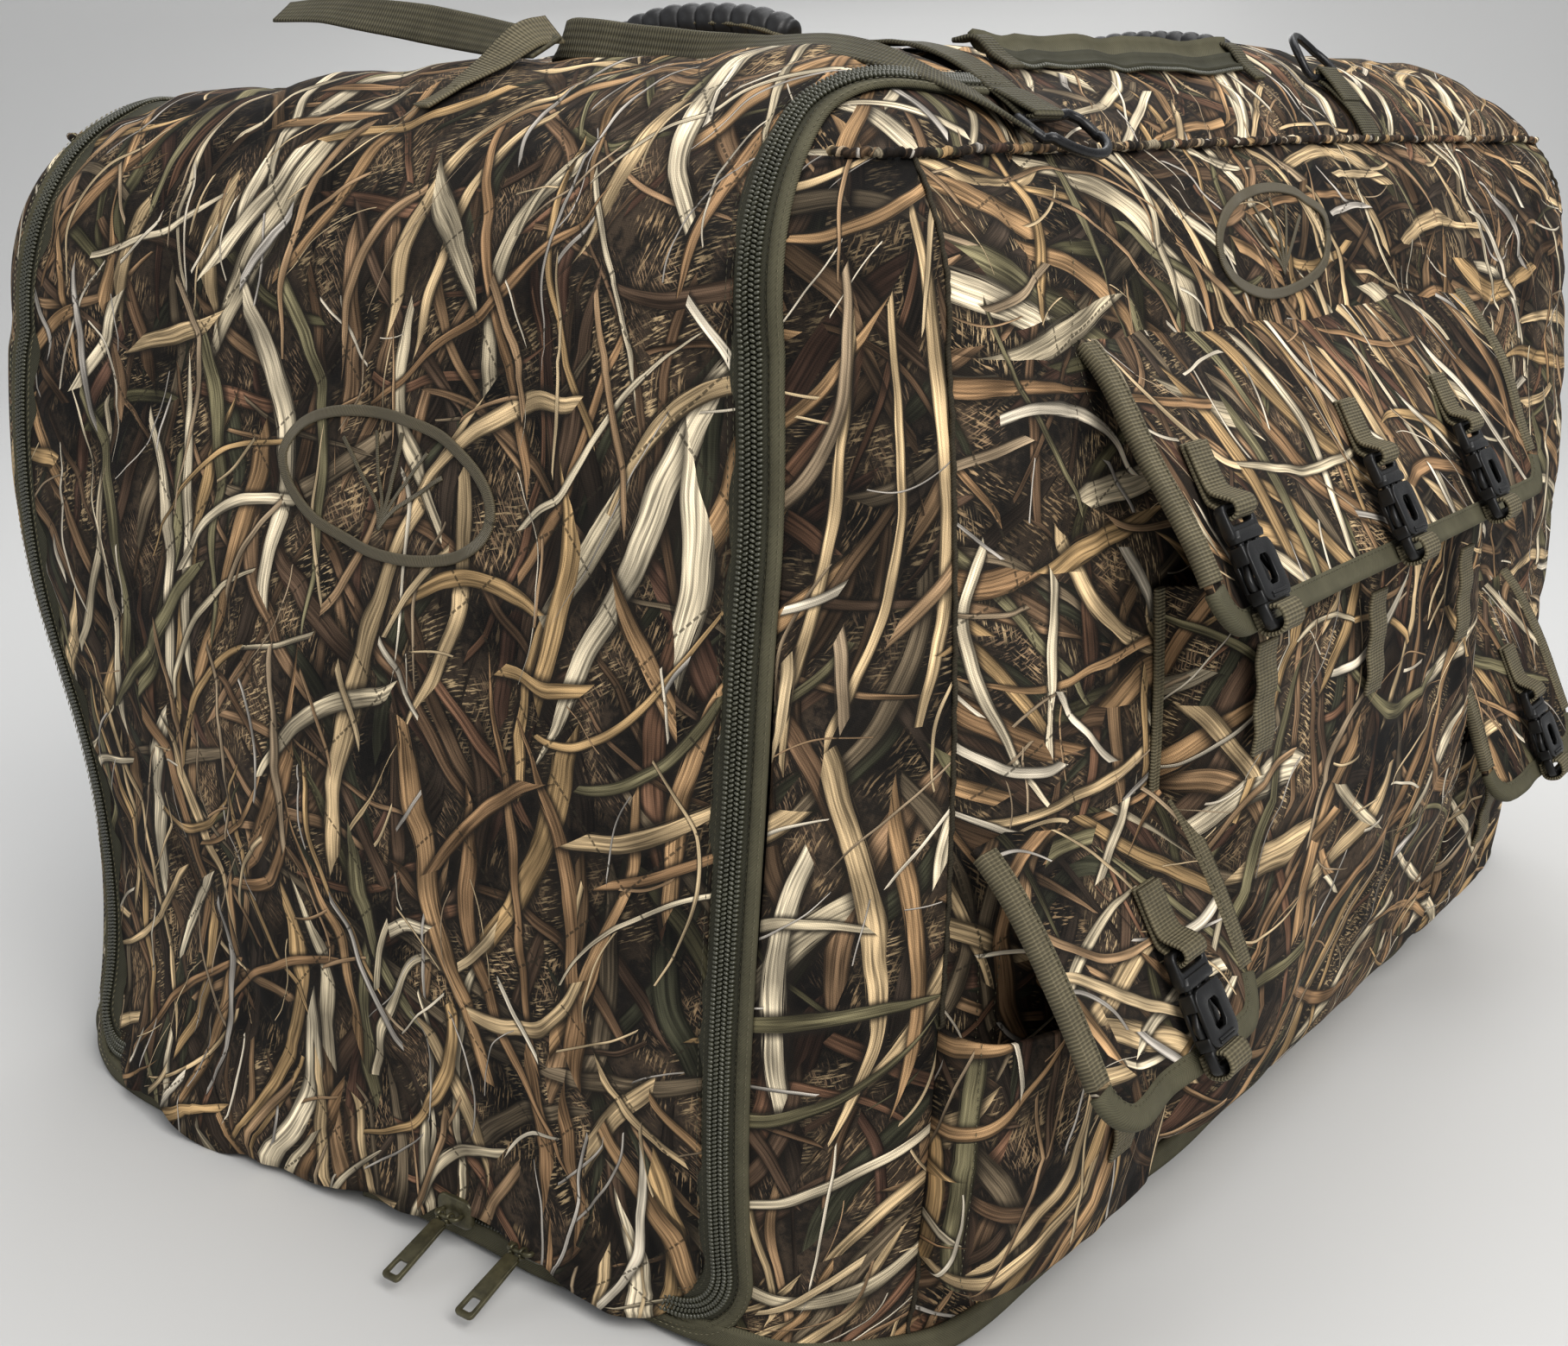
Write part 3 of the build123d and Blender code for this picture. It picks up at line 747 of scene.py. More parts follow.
BRIGHT_STITCH = thread_material("light_stitch_thread", (150, 143, 116), (96, 90, 68))
SATIN = thread_material("satin_thread", (112, 103, 80), (70, 63, 47), 0.0007)
PIPE = plain_tape_material("dark_piping", (60, 54, 40), (36, 32, 25))


# ---------------------------------------------------------------- quilted panels
CLOTH = 0.0035                         # thickness of a quilted panel


def quilt_puff(p, uv, amount, width, fine, seed):
    """Cloth puffed up between the diagonal quilting lines and puckered along them."""
    u, v = (uv[:, k].reshape(p.shape[:2]) for k in (0, 1))
    d = np.full(u.shape, 1.0)
    for s in (1, -1):
        k = (u + s * v) / QUILT
        d = np.minimum(d, np.abs(k - np.floor(k) - 0.5) * QUILT * DIAGONAL)
    puff = amount * (smooth(d, -0.001, width) - 0.55)
    return puff, fine * noise3(p, 120.0, seed) * (1 - smooth(d, 0.0, 0.012))


def panel(name, rough, mat, seed, quilt=0.0, turn=0.0, shift=(0, 0), loose=(), fold=0.0016, broad=0.006,
          tuck=0.002):
    """A sewn panel: settled on the body, puffed between its seams, with folds and puckers."""
    p = settle(rough)
    nrm = outward(p)
    uv = cloth_uv(p, turn, shift)
    a, b = lengths(p, 1), lengths(p, 0)
    edges = {"left": a, "right": a[:, -1:] - a, "low": b, "high": b[-1:] - b}
    near = np.full(a.shape, 1.0)
    for key, dist in edges.items():
        if key not in loose:
            near = np.minimum(near, dist)
    rise = smooth(near, -0.002, 0.020)
    lift = tuck * (rise - 1)
    swell = noise3(p, 5.5, seed) * broad * smooth(near, 0.0, 0.12)
    swell += creases(p * (1, 1, 0.55), 13.0, seed + 1) * fold * smooth(near, 0.0, 0.06)
    swell += noise3(p, 42.0, seed + 2) * 0.00045
    pucker = noise3(np.stack([uv[:, 0], uv[:, 1], 0 * uv[:, 0]], -1).reshape(p.shape), 95.0, seed + 3)
    swell += pucker * 0.0009 * (1 - smooth(near, 0.004, 0.026)) * rise
    if quilt:
        for part in quilt_puff(p, uv, quilt, 0.016, 0.0005, seed + 5):
            swell += part
    p = p + nrm * (lift + swell)[..., None]
    obj = collect(name, p.reshape(-1, 3), grid_faces(*a.shape), mat, uv)
    turn_out(obj, 0, outward(np.array(obj.data.polygons[0].center)[None])[0])
    thicken(obj, CLOTH)
    return done(obj, BODY, "camo")


ZIP_FOOT, ZIP_TURN = 0.2285, 0.030     # half width at the foot, radius of the corner there
ZIP_Z = 0.020                          # height of the stretch along the foot
ZIP_SIDE = 0.0088                      # cloth edge from the zip's middle


def zip_line(t):
    """Half width between the zips: out over the belly, in at the shoulder, out again on the roof."""
    return (ZIP_FOOT + 0.0145 * smooth(t, 0.02, 0.30) - 0.0245 * smooth(t, 0.36, 0.57)
            + 0.036 * smooth(t, 0.555, 0.650))


def zip_x(t, off=0.0):
    """The zip's half width at a length t up the front, with its rounded turn at the foot."""
    low = ZIP_Z + ZIP_TURN
    bend = np.sqrt(np.maximum(ZIP_TURN ** 2 - np.maximum(low - t, 0) ** 2, 0)) - ZIP_TURN
    return zip_line(t) + off + np.where(t < low, bend, 0)


def zip_path(off):
    """The zip's line (x, t) from the +X back corner, down, along the foot and up the other side."""
    r = ZIP_TURN + off
    low = ZIP_Z - off + r
    t = np.linspace(BACK_T, low, 420)
    right = np.stack([zip_line(t) + off, t], -1)
    x0 = right[-1, 0]
    ang = np.linspace(0, PI / 2, 24)[1:]
    bend = np.stack([x0 - r + r * np.cos(ang), low - r * np.sin(ang)], -1)
    foot = np.stack([np.linspace(bend[-1, 0], -bend[-1, 0], 160)[1:-1], np.full(158, bend[-1, 1])], -1)
    half = np.vstack([right, bend])
    other = half[::-1] * (-1, 1)
    return np.vstack([half, foot, other])


def hinge_blend(obj):
    """Bake the piece's placement into its mesh; nothing turns or bends at the hinge."""
    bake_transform(obj)


def hem_height(x):
    """Height of the door's lower edge, lifted over the sliders."""
    lift = 0.011 * smooth(x, 0.045, 0.065) * (1 - smooth(x, 0.130, 0.150))
    return 0.0105 + lift + 0.0022 * np.sin(x * 31) + 0.0012 * np.sin(x * 83 + 1)


def wall_rows(foot, count, top=WELT_Z, low_count=12):
    """Heights up a wall, closer together near its foot."""
    return np.concatenate([np.linspace(foot, 0.06, low_count)[:-1], np.linspace(0.06, top, count)])


def door_panel():
    """The door, from its skirt's hem up the front and over the roof."""
    rows = wall_rows(0, 185, BACK_T, 14)
    half = zip_x(np.maximum(rows, 0.012), -ZIP_SIDE)
    foot_half = zip_x(np.array([0.05]), -ZIP_SIDE) - 0.030 * (1 - rows / 0.05) ** 2
    half = np.where(rows < 0.05, np.maximum(half, foot_half), half)
    x = half[:, None] * np.linspace(-1, 1, 150)[None]
    hem = hem_height(x)
    t = hem + rows[:, None] * (BACK_T - hem) / BACK_T
    out, z = profile(t, L)
    p = settle(np.stack([x, -out, z], -1))
    nrm = outward(p)
    uv = cloth_uv(p, 0.05, (0.31, 0.12))
    a, b = lengths(p, 1), lengths(p, 0)
    side = np.minimum(a, a[:, -1:] - a)
    near = np.minimum(side, b[-1:] - b)
    rise = smooth(near, -0.001, 0.022)
    lift = 0.0022 * (rise - 1) + 0.0012
    swell = 0.006 * noise3(p, 5.0, 3) * smooth(near, 0, 0.1)
    swell += 0.0022 * creases(p * (1, 1, 0.35), 9.0, 8) * smooth(near, 0.0, 0.05)
    low = 1 - smooth(b, 0.02, 0.14)
    swell += low * 0.0018 * noise3(p * (1, 1, 0.25), 28.0, 12)
    swell += 0.0005 * noise3(p, 45.0, 5)
    for part in quilt_puff(p, uv, 0.0026, 0.018, 0.0006, 9):
        swell += part
    p = p + nrm * (lift + swell)[..., None]
    flare = 0.0155 * (1 - smooth(t, 0.004, 0.060)) * (1 - smooth(np.abs(x), 0.17, 0.215))
    p[..., 1] = np.where(flare >= 1e-6, p[..., 1] - flare * 0.75, p[..., 1])
    obj = collect("door_panel", p.reshape(-1, 3), grid_faces(*a.shape), CAMO_QUILTED, uv)
    turn_out(obj, len(obj.data.polygons) // 2, (0, -1, 0))
    thicken(obj, CLOTH)
    hinge_blend(obj)
    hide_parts("front_flap")
    return obj


door = door_panel()


SEAM_Y = -0.4135                       # upright seams, this far from the middle at both ends
SEAM_S, REAR_SEAM_S = side_s(SEAM_Y), side_s(-SEAM_Y)


def mirrored(s, side):
    """The same ring length on the +X side or on the -X side."""
    return s if side > 0 else RING_LENGTH - s


def wall_grid(s, z, side):
    p = around(mirrored(s, side), z)
    return p if side > 0 else p[:, ::-1]


def surround(side):
    """From the outer edge of a zip round the corner to the upright seam."""
    z = wall_rows(0.007, 100)
    inner = zip_x(np.maximum(z, 0.012), ZIP_SIDE)
    w = np.linspace(0, 1, 44)[None]
    s = inner[:, None] * (1 - w) + SEAM_S * w
    p = wall_grid(s, np.repeat(z[:, None], 44, 1), side)
    return panel(f"surround_{'right' if side > 0 else 'left'}", p, CAMO, 21 + side, turn=0.35 * side,
                 shift=(0.9 + side, 0.4), loose=("low",), broad=0.004, tuck=0.0008)


def side_panel(side):
    zz, ss = np.meshgrid(wall_rows(0.006, 112), np.linspace(SEAM_S, REAR_SEAM_S, 200), indexing="ij")
    return panel(f"side_panel_{'near' if side > 0 else 'far'}", wall_grid(ss, zz, side), CAMO_QUILTED, 31 + side,
                 quilt=0.0022, turn=-1.15 if side > 0 else 0.8, shift=(1.7 * side, 2.3), loose=("low",),
                 broad=0.005, fold=0.0015)


def rear_panel_cloth():
    s = np.linspace(REAR_SEAM_S, RING_LENGTH - REAR_SEAM_S, 190)
    zz, ss = np.meshgrid(wall_rows(0.006, 112), s, indexing="ij")
    return panel("rear_panel_cloth", around(ss, zz), CAMO_QUILTED, 41, quilt=0.0022, turn=0.2, shift=(3.9, 1.1),
                 loose=("low",), broad=0.005)


def welt_line(s):
    """Points of the seam between the walls and the roof."""
    return around(np.asarray(s, float), np.full(np.shape(s), WELT_Z))


def coons(south, north, west, east):
    """Patch between four lines of points; south and north run across, west and east run up."""
    m, n = len(south), len(west)
    u, v = np.linspace(0, 1, m)[None, :, None], np.linspace(0, 1, n)[:, None, None]
    ruled = (1 - v) * south[None] + v * north[None] + (1 - u) * west[:, None] + u * east[:, None]
    corners = ((1 - u) * (1 - v) * south[0] + u * (1 - v) * south[-1] + (1 - u) * v * north[0] + u * v * north[-1])
    return ruled - corners


def roof_panels():
    """The roof behind the door, and a cheek each side of the door's top."""
    made = []
    rear_corner = REAR_SEAM_S + 0.03
    west = welt_line(np.linspace(RING_LENGTH - side_s(DOOR_BACK), RING_LENGTH - rear_corner, 150))
    east = welt_line(np.linspace(side_s(DOOR_BACK), rear_corner, 150))
    x = np.linspace(west[0, 0], east[0, 0], 150)
    south = on_roof(x[1:-1], np.full(148, DOOR_BACK))
    south = resample(np.vstack([west[:1], south, east[:1]]), 150)
    north = resample(welt_line(np.linspace(RING_LENGTH - rear_corner, rear_corner, 400)), 150)
    made.append(panel("roof_panel", coons(south, north, west, east), CAMO_QUILTED, 51, quilt=0.0020, turn=1.9,
                      shift=(5.1, 0.7), broad=0.004))
    for side in (1, -1):
        t = np.linspace(BACK_T, 0.0, 900)
        line = on_front(side * zip_x(t, ZIP_SIDE), t)
        line = line[line[:, 2] > WELT_Z]
        inner = resample(line, 90)
        s = np.linspace(side_s(DOOR_BACK), abs(inner[-1, 0]), 400)
        outer = resample(welt_line(mirrored(s, side)), 90)
        back_x = np.linspace(inner[0, 0], outer[0, 0] - 0.004 * side, 60)
        back = resample(on_roof(back_x, np.full(60, DOOR_BACK)), 26)
        back[-1] = outer[0]
        front = resample(np.vstack([inner[-1:], outer[-1:]]), 26)
        patch = coons(back, front, inner, outer)
        made.append(panel(f"roof_cheek_{'right' if side > 0 else 'left'}", patch, CAMO, 55 + side, turn=0.4 + side,
                          shift=(6.3 * side, 2.9), broad=0.002, fold=0.0012))
    return made


surrounds = [surround(side) for side in (1, -1)]
near_side, far_side = [side_panel(side) for side in (1, -1)]
rear = rear_panel_cloth()
roof = roof_panels()
for piece, node in ((surrounds[0], "front_surround"), (near_side, "side_panel_right"), (far_side, "side_panel_left"),
                    (rear, "rear_panel"), (roof[0], "top_panel")):
    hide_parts(node)


# ---------------------------------------------------------------- crate inside the cover
DOORWAY = 0.19, 0.062, 0.460, 0.09     # half width, sill, crown, and how far the arch drops at its ends


def arch(x):
    half, _, crown, fall = DOORWAY
    return crown - fall * (1 - np.sqrt(np.maximum(1 - (np.minimum(np.abs(x), half) / half) ** 4, 0)))


def doorway_edge():
    """The doorway's outline, as (x, z)."""
    half, sill, crown, fall = DOORWAY
    across = half * np.sin(np.linspace(-PI / 2, PI / 2, 160))
    up = np.linspace(sill, crown - fall, 60)
    return np.concatenate([np.stack([across, arch(across)], 1), np.stack([across, across * 0 + sill], 1),
                           np.stack([up * 0 + half, up], 1), np.stack([up * 0 - half, up], 1)])


def crate_shell():
    """Two moulded halves with a doorway, standing inside the cover."""
    inset, wall, seam_z, count = 0.013, 0.0035, 0.273, 40
    half, sill = DOORWAY[:2]
    zs = np.concatenate([np.linspace(0.003, seam_z - 0.003, count), np.linspace(seam_z + 0.003, WELT_Z, count)])
    s = np.linspace(0, RING_LENGTH, 361)[:-1]
    p = around(np.repeat(s[None], len(zs), 0), np.repeat(zs[:, None], len(s), 1))
    n = outward(p)
    inside = inset + 0.003 * (0.5 + 0.5 * np.cos(s * TAU / 0.06))[None] * smooth(zs, 0.05, 0.09)[:, None]
    p = p - n * inside[..., None]
    lip = 0.004 * np.exp(-((zs - seam_z) / 0.006) ** 2)
    p = p + n * lip[:, None, None]
    edge = doorway_edge()
    for name, node, q in (("crate_tub", "crate_base", p[:count]), ("crate_hood", "crate_top", p[count:])):
        hood = name == "crate_hood"
        flat = q.reshape(-1, 3)
        faces, cut = [], set()
        for f in grid_faces(q.shape[0], q.shape[1], wrap=True):
            c = flat[f].mean(0)
            if c[1] < -0.40 and abs(c[0]) < half and sill < c[2] < arch(c[0]):
                cut.update(f)
            else:
                faces.append(tuple(f))
        for k in cut & {k for f in faces for k in f}:
            flat[k, 0], flat[k, 2] = edge[np.argmin(((edge - flat[k, [0, 2]]) ** 2).sum(1))]
        verts = list(flat)
        m = q.shape[1]
        cap = q[-1] if hood else q[0]
        rings = 14
        centre = cap.mean(0)
        prev = [(count - 1) * m * hood + k for k in range(m)]
        for r in range(1, rings + 1):
            w = r / (rings + 1)
            ring = cap * (1 - w) + centre * w
            if hood:
                ring = on_roof(ring[:, 0], ring[:, 1], -inset - 0.002)
            now = list(range(len(verts), len(verts) + m))
            verts += list(ring)
            faces += [(prev[k], prev[(k + 1) % m], now[(k + 1) % m], now[k]) for k in range(m)]
            prev = now
        faces.append(tuple(prev))
        obj = collect(name, verts, faces, CRATE)
        thicken(obj, wall)
        done(obj, BODY, "crate_plastic", node)


crate_shell()


# ---------------------------------------------------------------- zips
def along_zip(off, height):
    """3-D line and up directions for an offset of the zip's route."""
    xt = zip_path(off)
    p = on_front(xt[:, 0], xt[:, 1])
    return p + outward(p) * height, outward(p)


def attach(obj, body, node=None):
    """Tie part of a zip to its body; the door's pieces are only baked in place."""
    if body == DOOR:
        hinge_blend(obj)
    else:
        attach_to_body(obj, body)
    if node:
        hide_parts(node)


def zip_ribbon(name, offs, heights, mat, body, node=None):
    """A tape sewn along the zip, through rails at these offsets and heights."""
    p = np.stack([along_zip(o, h)[0] for o, h in zip(offs, heights)], 1)
    a, b = lengths(p, 1), lengths(p, 0)
    uv = np.stack([b[:, :1] + 0 * a, a], -1).reshape(-1, 2)
    obj = collect(name, p.reshape(-1, 3), grid_faces(*p.shape[:2]), mat, uv)
    turn_out(obj, len(obj.data.polygons) // 2, (0, -1, 0))
    thicken(obj, 0.001)
    attach(obj, body, node)


def spaced(path, nrm, pitch):
    """Points at an even pitch along a line, with its normals and directions."""
    run = run_of(path)
    at = np.linspace(0, run[-1], max(int(run[-1] / pitch), 2))
    pos = np.stack([np.interp(at, run, path[:, k]) for k in range(3)], -1)
    up = unit(np.stack([np.interp(at, run, np.broadcast_to(nrm, path.shape)[:, k]) for k in range(3)], -1))
    return pos, up, unit(np.gradient(pos, axis=0))


def zip_beads(name, off, height, pitch, bead, mat, body, node=None, lean=0.0):
    """A row of teeth or stitches that follows the zip."""
    pos, up, tan = spaced(*along_zip(off, height), pitch)
    a = unit(unit(np.cross(tan, up)) + lean * tan)
    attach(repeat(name, pos, a, tan, up, bead, mat), body, node)


zip_ribbon("door_zip_tape", (-0.0150, -0.0100, -0.0060, -0.0008), (-0.0035, -0.0010, 0.0004, 0.0006), TAPE, DOOR,
           "flap_zipper_tape")
zip_ribbon("surround_zip_tape", (0.0008, 0.0060, 0.0100, 0.0130), (0.0006, 0.0004, -0.0006, -0.0025), TAPE, BODY,
           "surround_zipper_tape")
zip_ribbon("surround_edge_tape", (0.0078, 0.0086, 0.0112, 0.0140, 0.0150), (0.0008, 0.0018, 0.0021, 0.0018, 0.0002),
           EDGE_TAPE, BODY)
TOOTH, TOOTH_PITCH = pill(0.0029, 0.00170, 0.0024, 3, 8), 0.0021
for k, (off, lean) in enumerate(((0.0014, 0.30), (0.0041, -0.15))):
    for tag, body, side, node in (("door", DOOR, -1, "flap_zipper_coil"),
                                  ("surround", BODY, 1, "surround_zipper_coil")):
        zip_beads(f"{tag}_zip_coil_{k + 1}", side * off, 0.0018, TOOTH_PITCH, TOOTH, COIL, body,
                  node if k == 0 else None, -side * lean)
STITCH_BEAD = pill(0.0024, 0.00055, 0.0005, 1, 5)
TURNED_BEAD = [(b, a, c) for a, b, c in STITCH_BEAD[0]], STITCH_BEAD[1]
for tag, body, rows in (("door", DOOR, ((-0.0105, 0.0016), (-0.0082, 0.0010))),
                        ("surround", BODY, ((0.0096, 0.0027), (0.0134, 0.0026), (0.0076, 0.0010)))):
    for k, (off, height) in enumerate(rows, 1):
        thread = BRIGHT_STITCH if (tag, k) == ("surround", 2) else STITCH
        zip_beads(f"{tag}_zip_stitches_{k}", off, height, 0.0034, TURNED_BEAD, thread, body)


# ---------------------------------------------------------------- sliders and pulls
def rounded_rect(w, h, r, k=5):
    """A rectangle's outline with round corners, k steps to a corner."""
    pts = []
    for i, (sx, sy) in enumerate(((1, 1), (-1, 1), (-1, -1), (1, -1))):
        cx, cy = sx * (w / 2 - r), sy * (h / 2 - r)
        turns = [math.radians(90 * i + 90 * j / k) for j in range(k + 1)]
        pts += [(cx + r * math.cos(t), cy + r * math.sin(t)) for t in turns]
    return pts


def join(name, objs):
    """One piece from several, keeping the first one's ties."""
    bpy.ops.object.select_all(action="DESELECT")
    for o in objs:
        bpy.context.view_layer.objects.active = o
        o.select_set(True)
        for mod in list(o.modifiers):
            bpy.ops.object.modifier_apply(modifier=mod.name)
    bpy.context.view_layer.objects.active = objs[0]
    bpy.ops.object.join()
    objs[0].name = name
    return objs[0]


def plate(outer, inner, thick, place, mat, edge):
    """A flat plate with one hole. place maps local (a, b, c) to the world."""
    n = len(outer)
    verts = [place(a, b, c) for c in (-thick / 2, thick / 2) for ring in (outer, inner) for a, b in ring]
    faces = []
    for j in range(n):
        k = (j + 1) % n
        faces += [(j, n + j, n + k, k), (2 * n + j, 2 * n + k, 3 * n + k, 3 * n + j),
                  (j, k, 2 * n + k, 2 * n + j), (n + k, n + j, 3 * n + j, 3 * n + k)]
    obj = collect("plate", verts, faces, mat)
    bevel(obj, edge)
    return obj


def loft(sections, mat, place, edge=0.0005):
    """Solid through equal-length rings, each (height, [(a, b)...])."""
    n, m = len(sections), len(sections[0][1])
    verts = [place(a, b, c) for c, ring in sections for a, b in ring]
    faces = [tuple(f) for f in grid_faces(n, m, wrap=True)] + end_caps(n, m)
    obj = collect("loft", verts, faces, mat)
    bevel(obj, edge, 0.7)
    return obj


def zip_slider(side, x):
    """Slider with a raised bridge, and a pull tab hanging from it by two eyes."""
    face, z0 = -0.4634, 0.022

    def at(a, b, c):
        return (x + a, face - c, z0 + b)

    sizes = (0.0, 0.0215, 0.0145, 0.005), (0.0010, 0.0235, 0.0158, 0.005), (0.0032, 0.0225, 0.0150, 0.005), \
        (0.0040, 0.0190, 0.0125, 0.004)
    shell = loft([(c, rounded_rect(w, h, r)) for c, w, h, r in sizes], SLIDER, at, 0.0004)
    hoop = [(-0.0062, 0, 0.0038), (-0.0062, 0, 0.0085), (0, 0, 0.0094), (0.0062, 0, 0.0085), (0.0062, 0, 0.0038)]
    bridge = rope("bridge", curve([at(*p) for p in hoop], 24), (0, 0, 1), 0.0013, SLIDER)
    done(join(f"{side}_slider_body", [shell, bridge]), f"{side}_slider", "slider_metal", f"{side}_zipper_slider")

    bar = np.array([x, face - 0.009, z0])
    tilt = math.radians(22)
    down = np.array([0, -math.cos(tilt), -math.sin(tilt)])
    face_n = np.array([0, -math.sin(tilt), math.cos(tilt)])

    def hang(a, b, c):
        return tuple(bar + np.array([1, 0, 0]) * a + down * b + face_n * c)

    outer = [(a * (1.0 - 0.22 * (1 - (b + 0.020) / 0.040)), b + 0.0215)
             for a, b in rounded_rect(0.0110, 0.037, 0.0026)]
    inner = [(a, b + 0.0330) for a, b in rounded_rect(0.0062, 0.0078, 0.0012)]
    tab = plate(outer, inner, 0.0021, hang, SLIDER, 0.0004)
    loop = np.array([hang(0, 0.0024 * math.cos(t), 0.0024 * math.sin(t))
                     for t in np.linspace(0.15 * TAU, 1.1 * TAU, 26)])
    eyes = [rope("eye", loop + (dx, 0, 0), (1, 0, 0), 0.00085, SLIDER, k=8) for dx in (-0.0030, 0.0030)]
    done(join(f"{side}_pull_tab", [tab] + eyes), f"{side}_pull", "slider_metal", f"{side}_zipper_pull")


zip_slider("left", 0.070)
zip_slider("right", 0.118)


# ---------------------------------------------------------------- hem, welt and upright seams
def hem_tape():
    """Binding round the lower edge of the whole cover."""
    s = np.linspace(0, RING_LENGTH, 900)
    p = around(s, 0.0085 + 0.0012 * np.sin(s * 37) + 0.0008 * np.sin(s * 91))
    n = outward(p)
    n[:, 2] = 0
    n = unit(n)
    wave = 0.0018 * np.sin(s * 23) + 0.0012 * np.sin(s * 57 + 1)
    path = (p + n * (wave + 0.0006)[:, None])[:-1]
    tan = unit(np.roll(path, -1, 0) - np.roll(path, 1, 0))
    up = n[:-1]
    obj = sweep("hem_tape", path, unit(np.cross(tan, up)), up, band_section(0.0125, 0.0052), EDGE_TAPE, closed=True)
    for v in obj.data.vertices:
        v.co.z = max(v.co.z, 0.0003)
    done(obj, BODY, "olive_tape", "hem_binding")


def seam_cord(name, path, nrm, r, mat, slot, nodes=(), wave=0.0006):
    s = np.arange(len(path))
    path = path + nrm * (wave * np.sin(s * 1.9) + wave * np.sin(s * 0.7))[:, None]
    done(rope(name, path, nrm, r, mat, k=8), BODY, slot, *nodes)


def welt_cord():
    """Piping between the walls and the roof, from one side of the door round to the other."""
    welt = welt_line(np.linspace(0, RING_LENGTH, 1200)[:-1])
    gap = zip_x(np.array([WELT_Z]), 0.016)[0] + 0.004
    keep = ~((welt[:, 1] < -0.38) & (np.abs(welt[:, 0]) < gap))
    start = int(np.argmax(keep))
    welt = np.roll(welt, -start, 0)[np.roll(keep, -start)]
    up = outward(welt)
    seam_cord("welt_cord", welt + up * 0.0012, up, 0.0019, CAMO, "camo", ("welt_piping",))


hem_tape()
welt_cord()
for side in (1, -1):
    for where, tag in ((SEAM_S, "front"), (REAR_SEAM_S, "rear")):
        z = np.linspace(0.008, WELT_Z - 0.001, 260)
        p = around(np.full(z.shape, mirrored(where, side)), z)
        up = outward(p)
        seam_cord(f"upright_seam_{tag}_{'near' if side > 0 else 'far'}", p - up * 0.0002, up, 0.0011, PIPE, "thread",
                  wave=0.0004)


def stitch_piece(name, path, nrm, pitch=0.0036):
    """A row of stitches along a path."""
    pos, up, tan = spaced(path, nrm, pitch)
    return repeat(name, pos, tan, unit(np.cross(tan, up)), up, STITCH_BEAD, STITCH)


def stitch_row(name, path, pitch=0.003, body=BODY, nrm=None):
    """Stitches on a body; they lie on the cloth unless a normal is given."""
    done(stitch_piece(name, path, outward(path) if nrm is None else nrm, pitch), body, "thread")


# ---------------------------------------------------------------- pouches
def side_wall(y, z, off=0.0):
    """Point of the +X wall at a Y and a height, stood off by off."""
    p = around(side_s(np.asarray(y, float)), np.asarray(z, float) + 0 * np.asarray(y, float))
    return p + outward(p) * np.asarray(off)[..., None]


def pouch_cloth(key, node, y, z, depth, front_slope, seed, turn, shift):
    """A box pocket: soft-edged sides, rounded lower corners, open at the top under its flap."""
    slope = 0.011                      # width of the rear and lower sides
    v, u = np.meshgrid(np.linspace(0, 1, 90), np.linspace(-1, 1, 96), indexing="ij")
    half, mid = (y[1] - y[0]) / 2, (y[0] + y[1]) / 2
    r = 0.024
    up = v * (z[1] - z[0])
    round_in = np.where(up < r, r - np.sqrt(np.maximum(r ** 2 - (r - up) ** 2, 0)), 0)
    rim = np.minimum((1 - np.abs(u)) * half, up)
    steep = np.minimum(np.minimum((1 + u) * half / front_slope, (1 - u) * half / slope), up / slope)
    side = 1 - np.clip(steep, 0, 1)
    crown = 1 + 0.16 * (1 - u ** 2) * np.sin(PI * v) - 0.10 * v
    p = side_wall(mid + u * (half - round_in), z[0] + up, depth * np.sqrt(np.maximum(1 - side ** 2, 0)) * crown)
    n = outward(p)
    on_face = smooth(rim, 0.006, 0.03)
    p += n * (0.0030 * noise3(p, 11.0, seed) * on_face + 0.0022 * creases(p, 26.0, seed + 2) * on_face
              + 0.0008 * noise3(p, 70.0, seed + 4) * smooth(rim, 0, 0.01))[..., None]
    obj = collect(f"{key}_pouch_cloth", p.reshape(-1, 3), grid_faces(*u.shape), CAMO, cloth_uv(p, turn, shift))
    turn_out(obj, len(obj.data.polygons) // 2, (1, 0, 0))
    thicken(obj, 0.0022)
    done(obj, BODY, "camo", node)
    return p


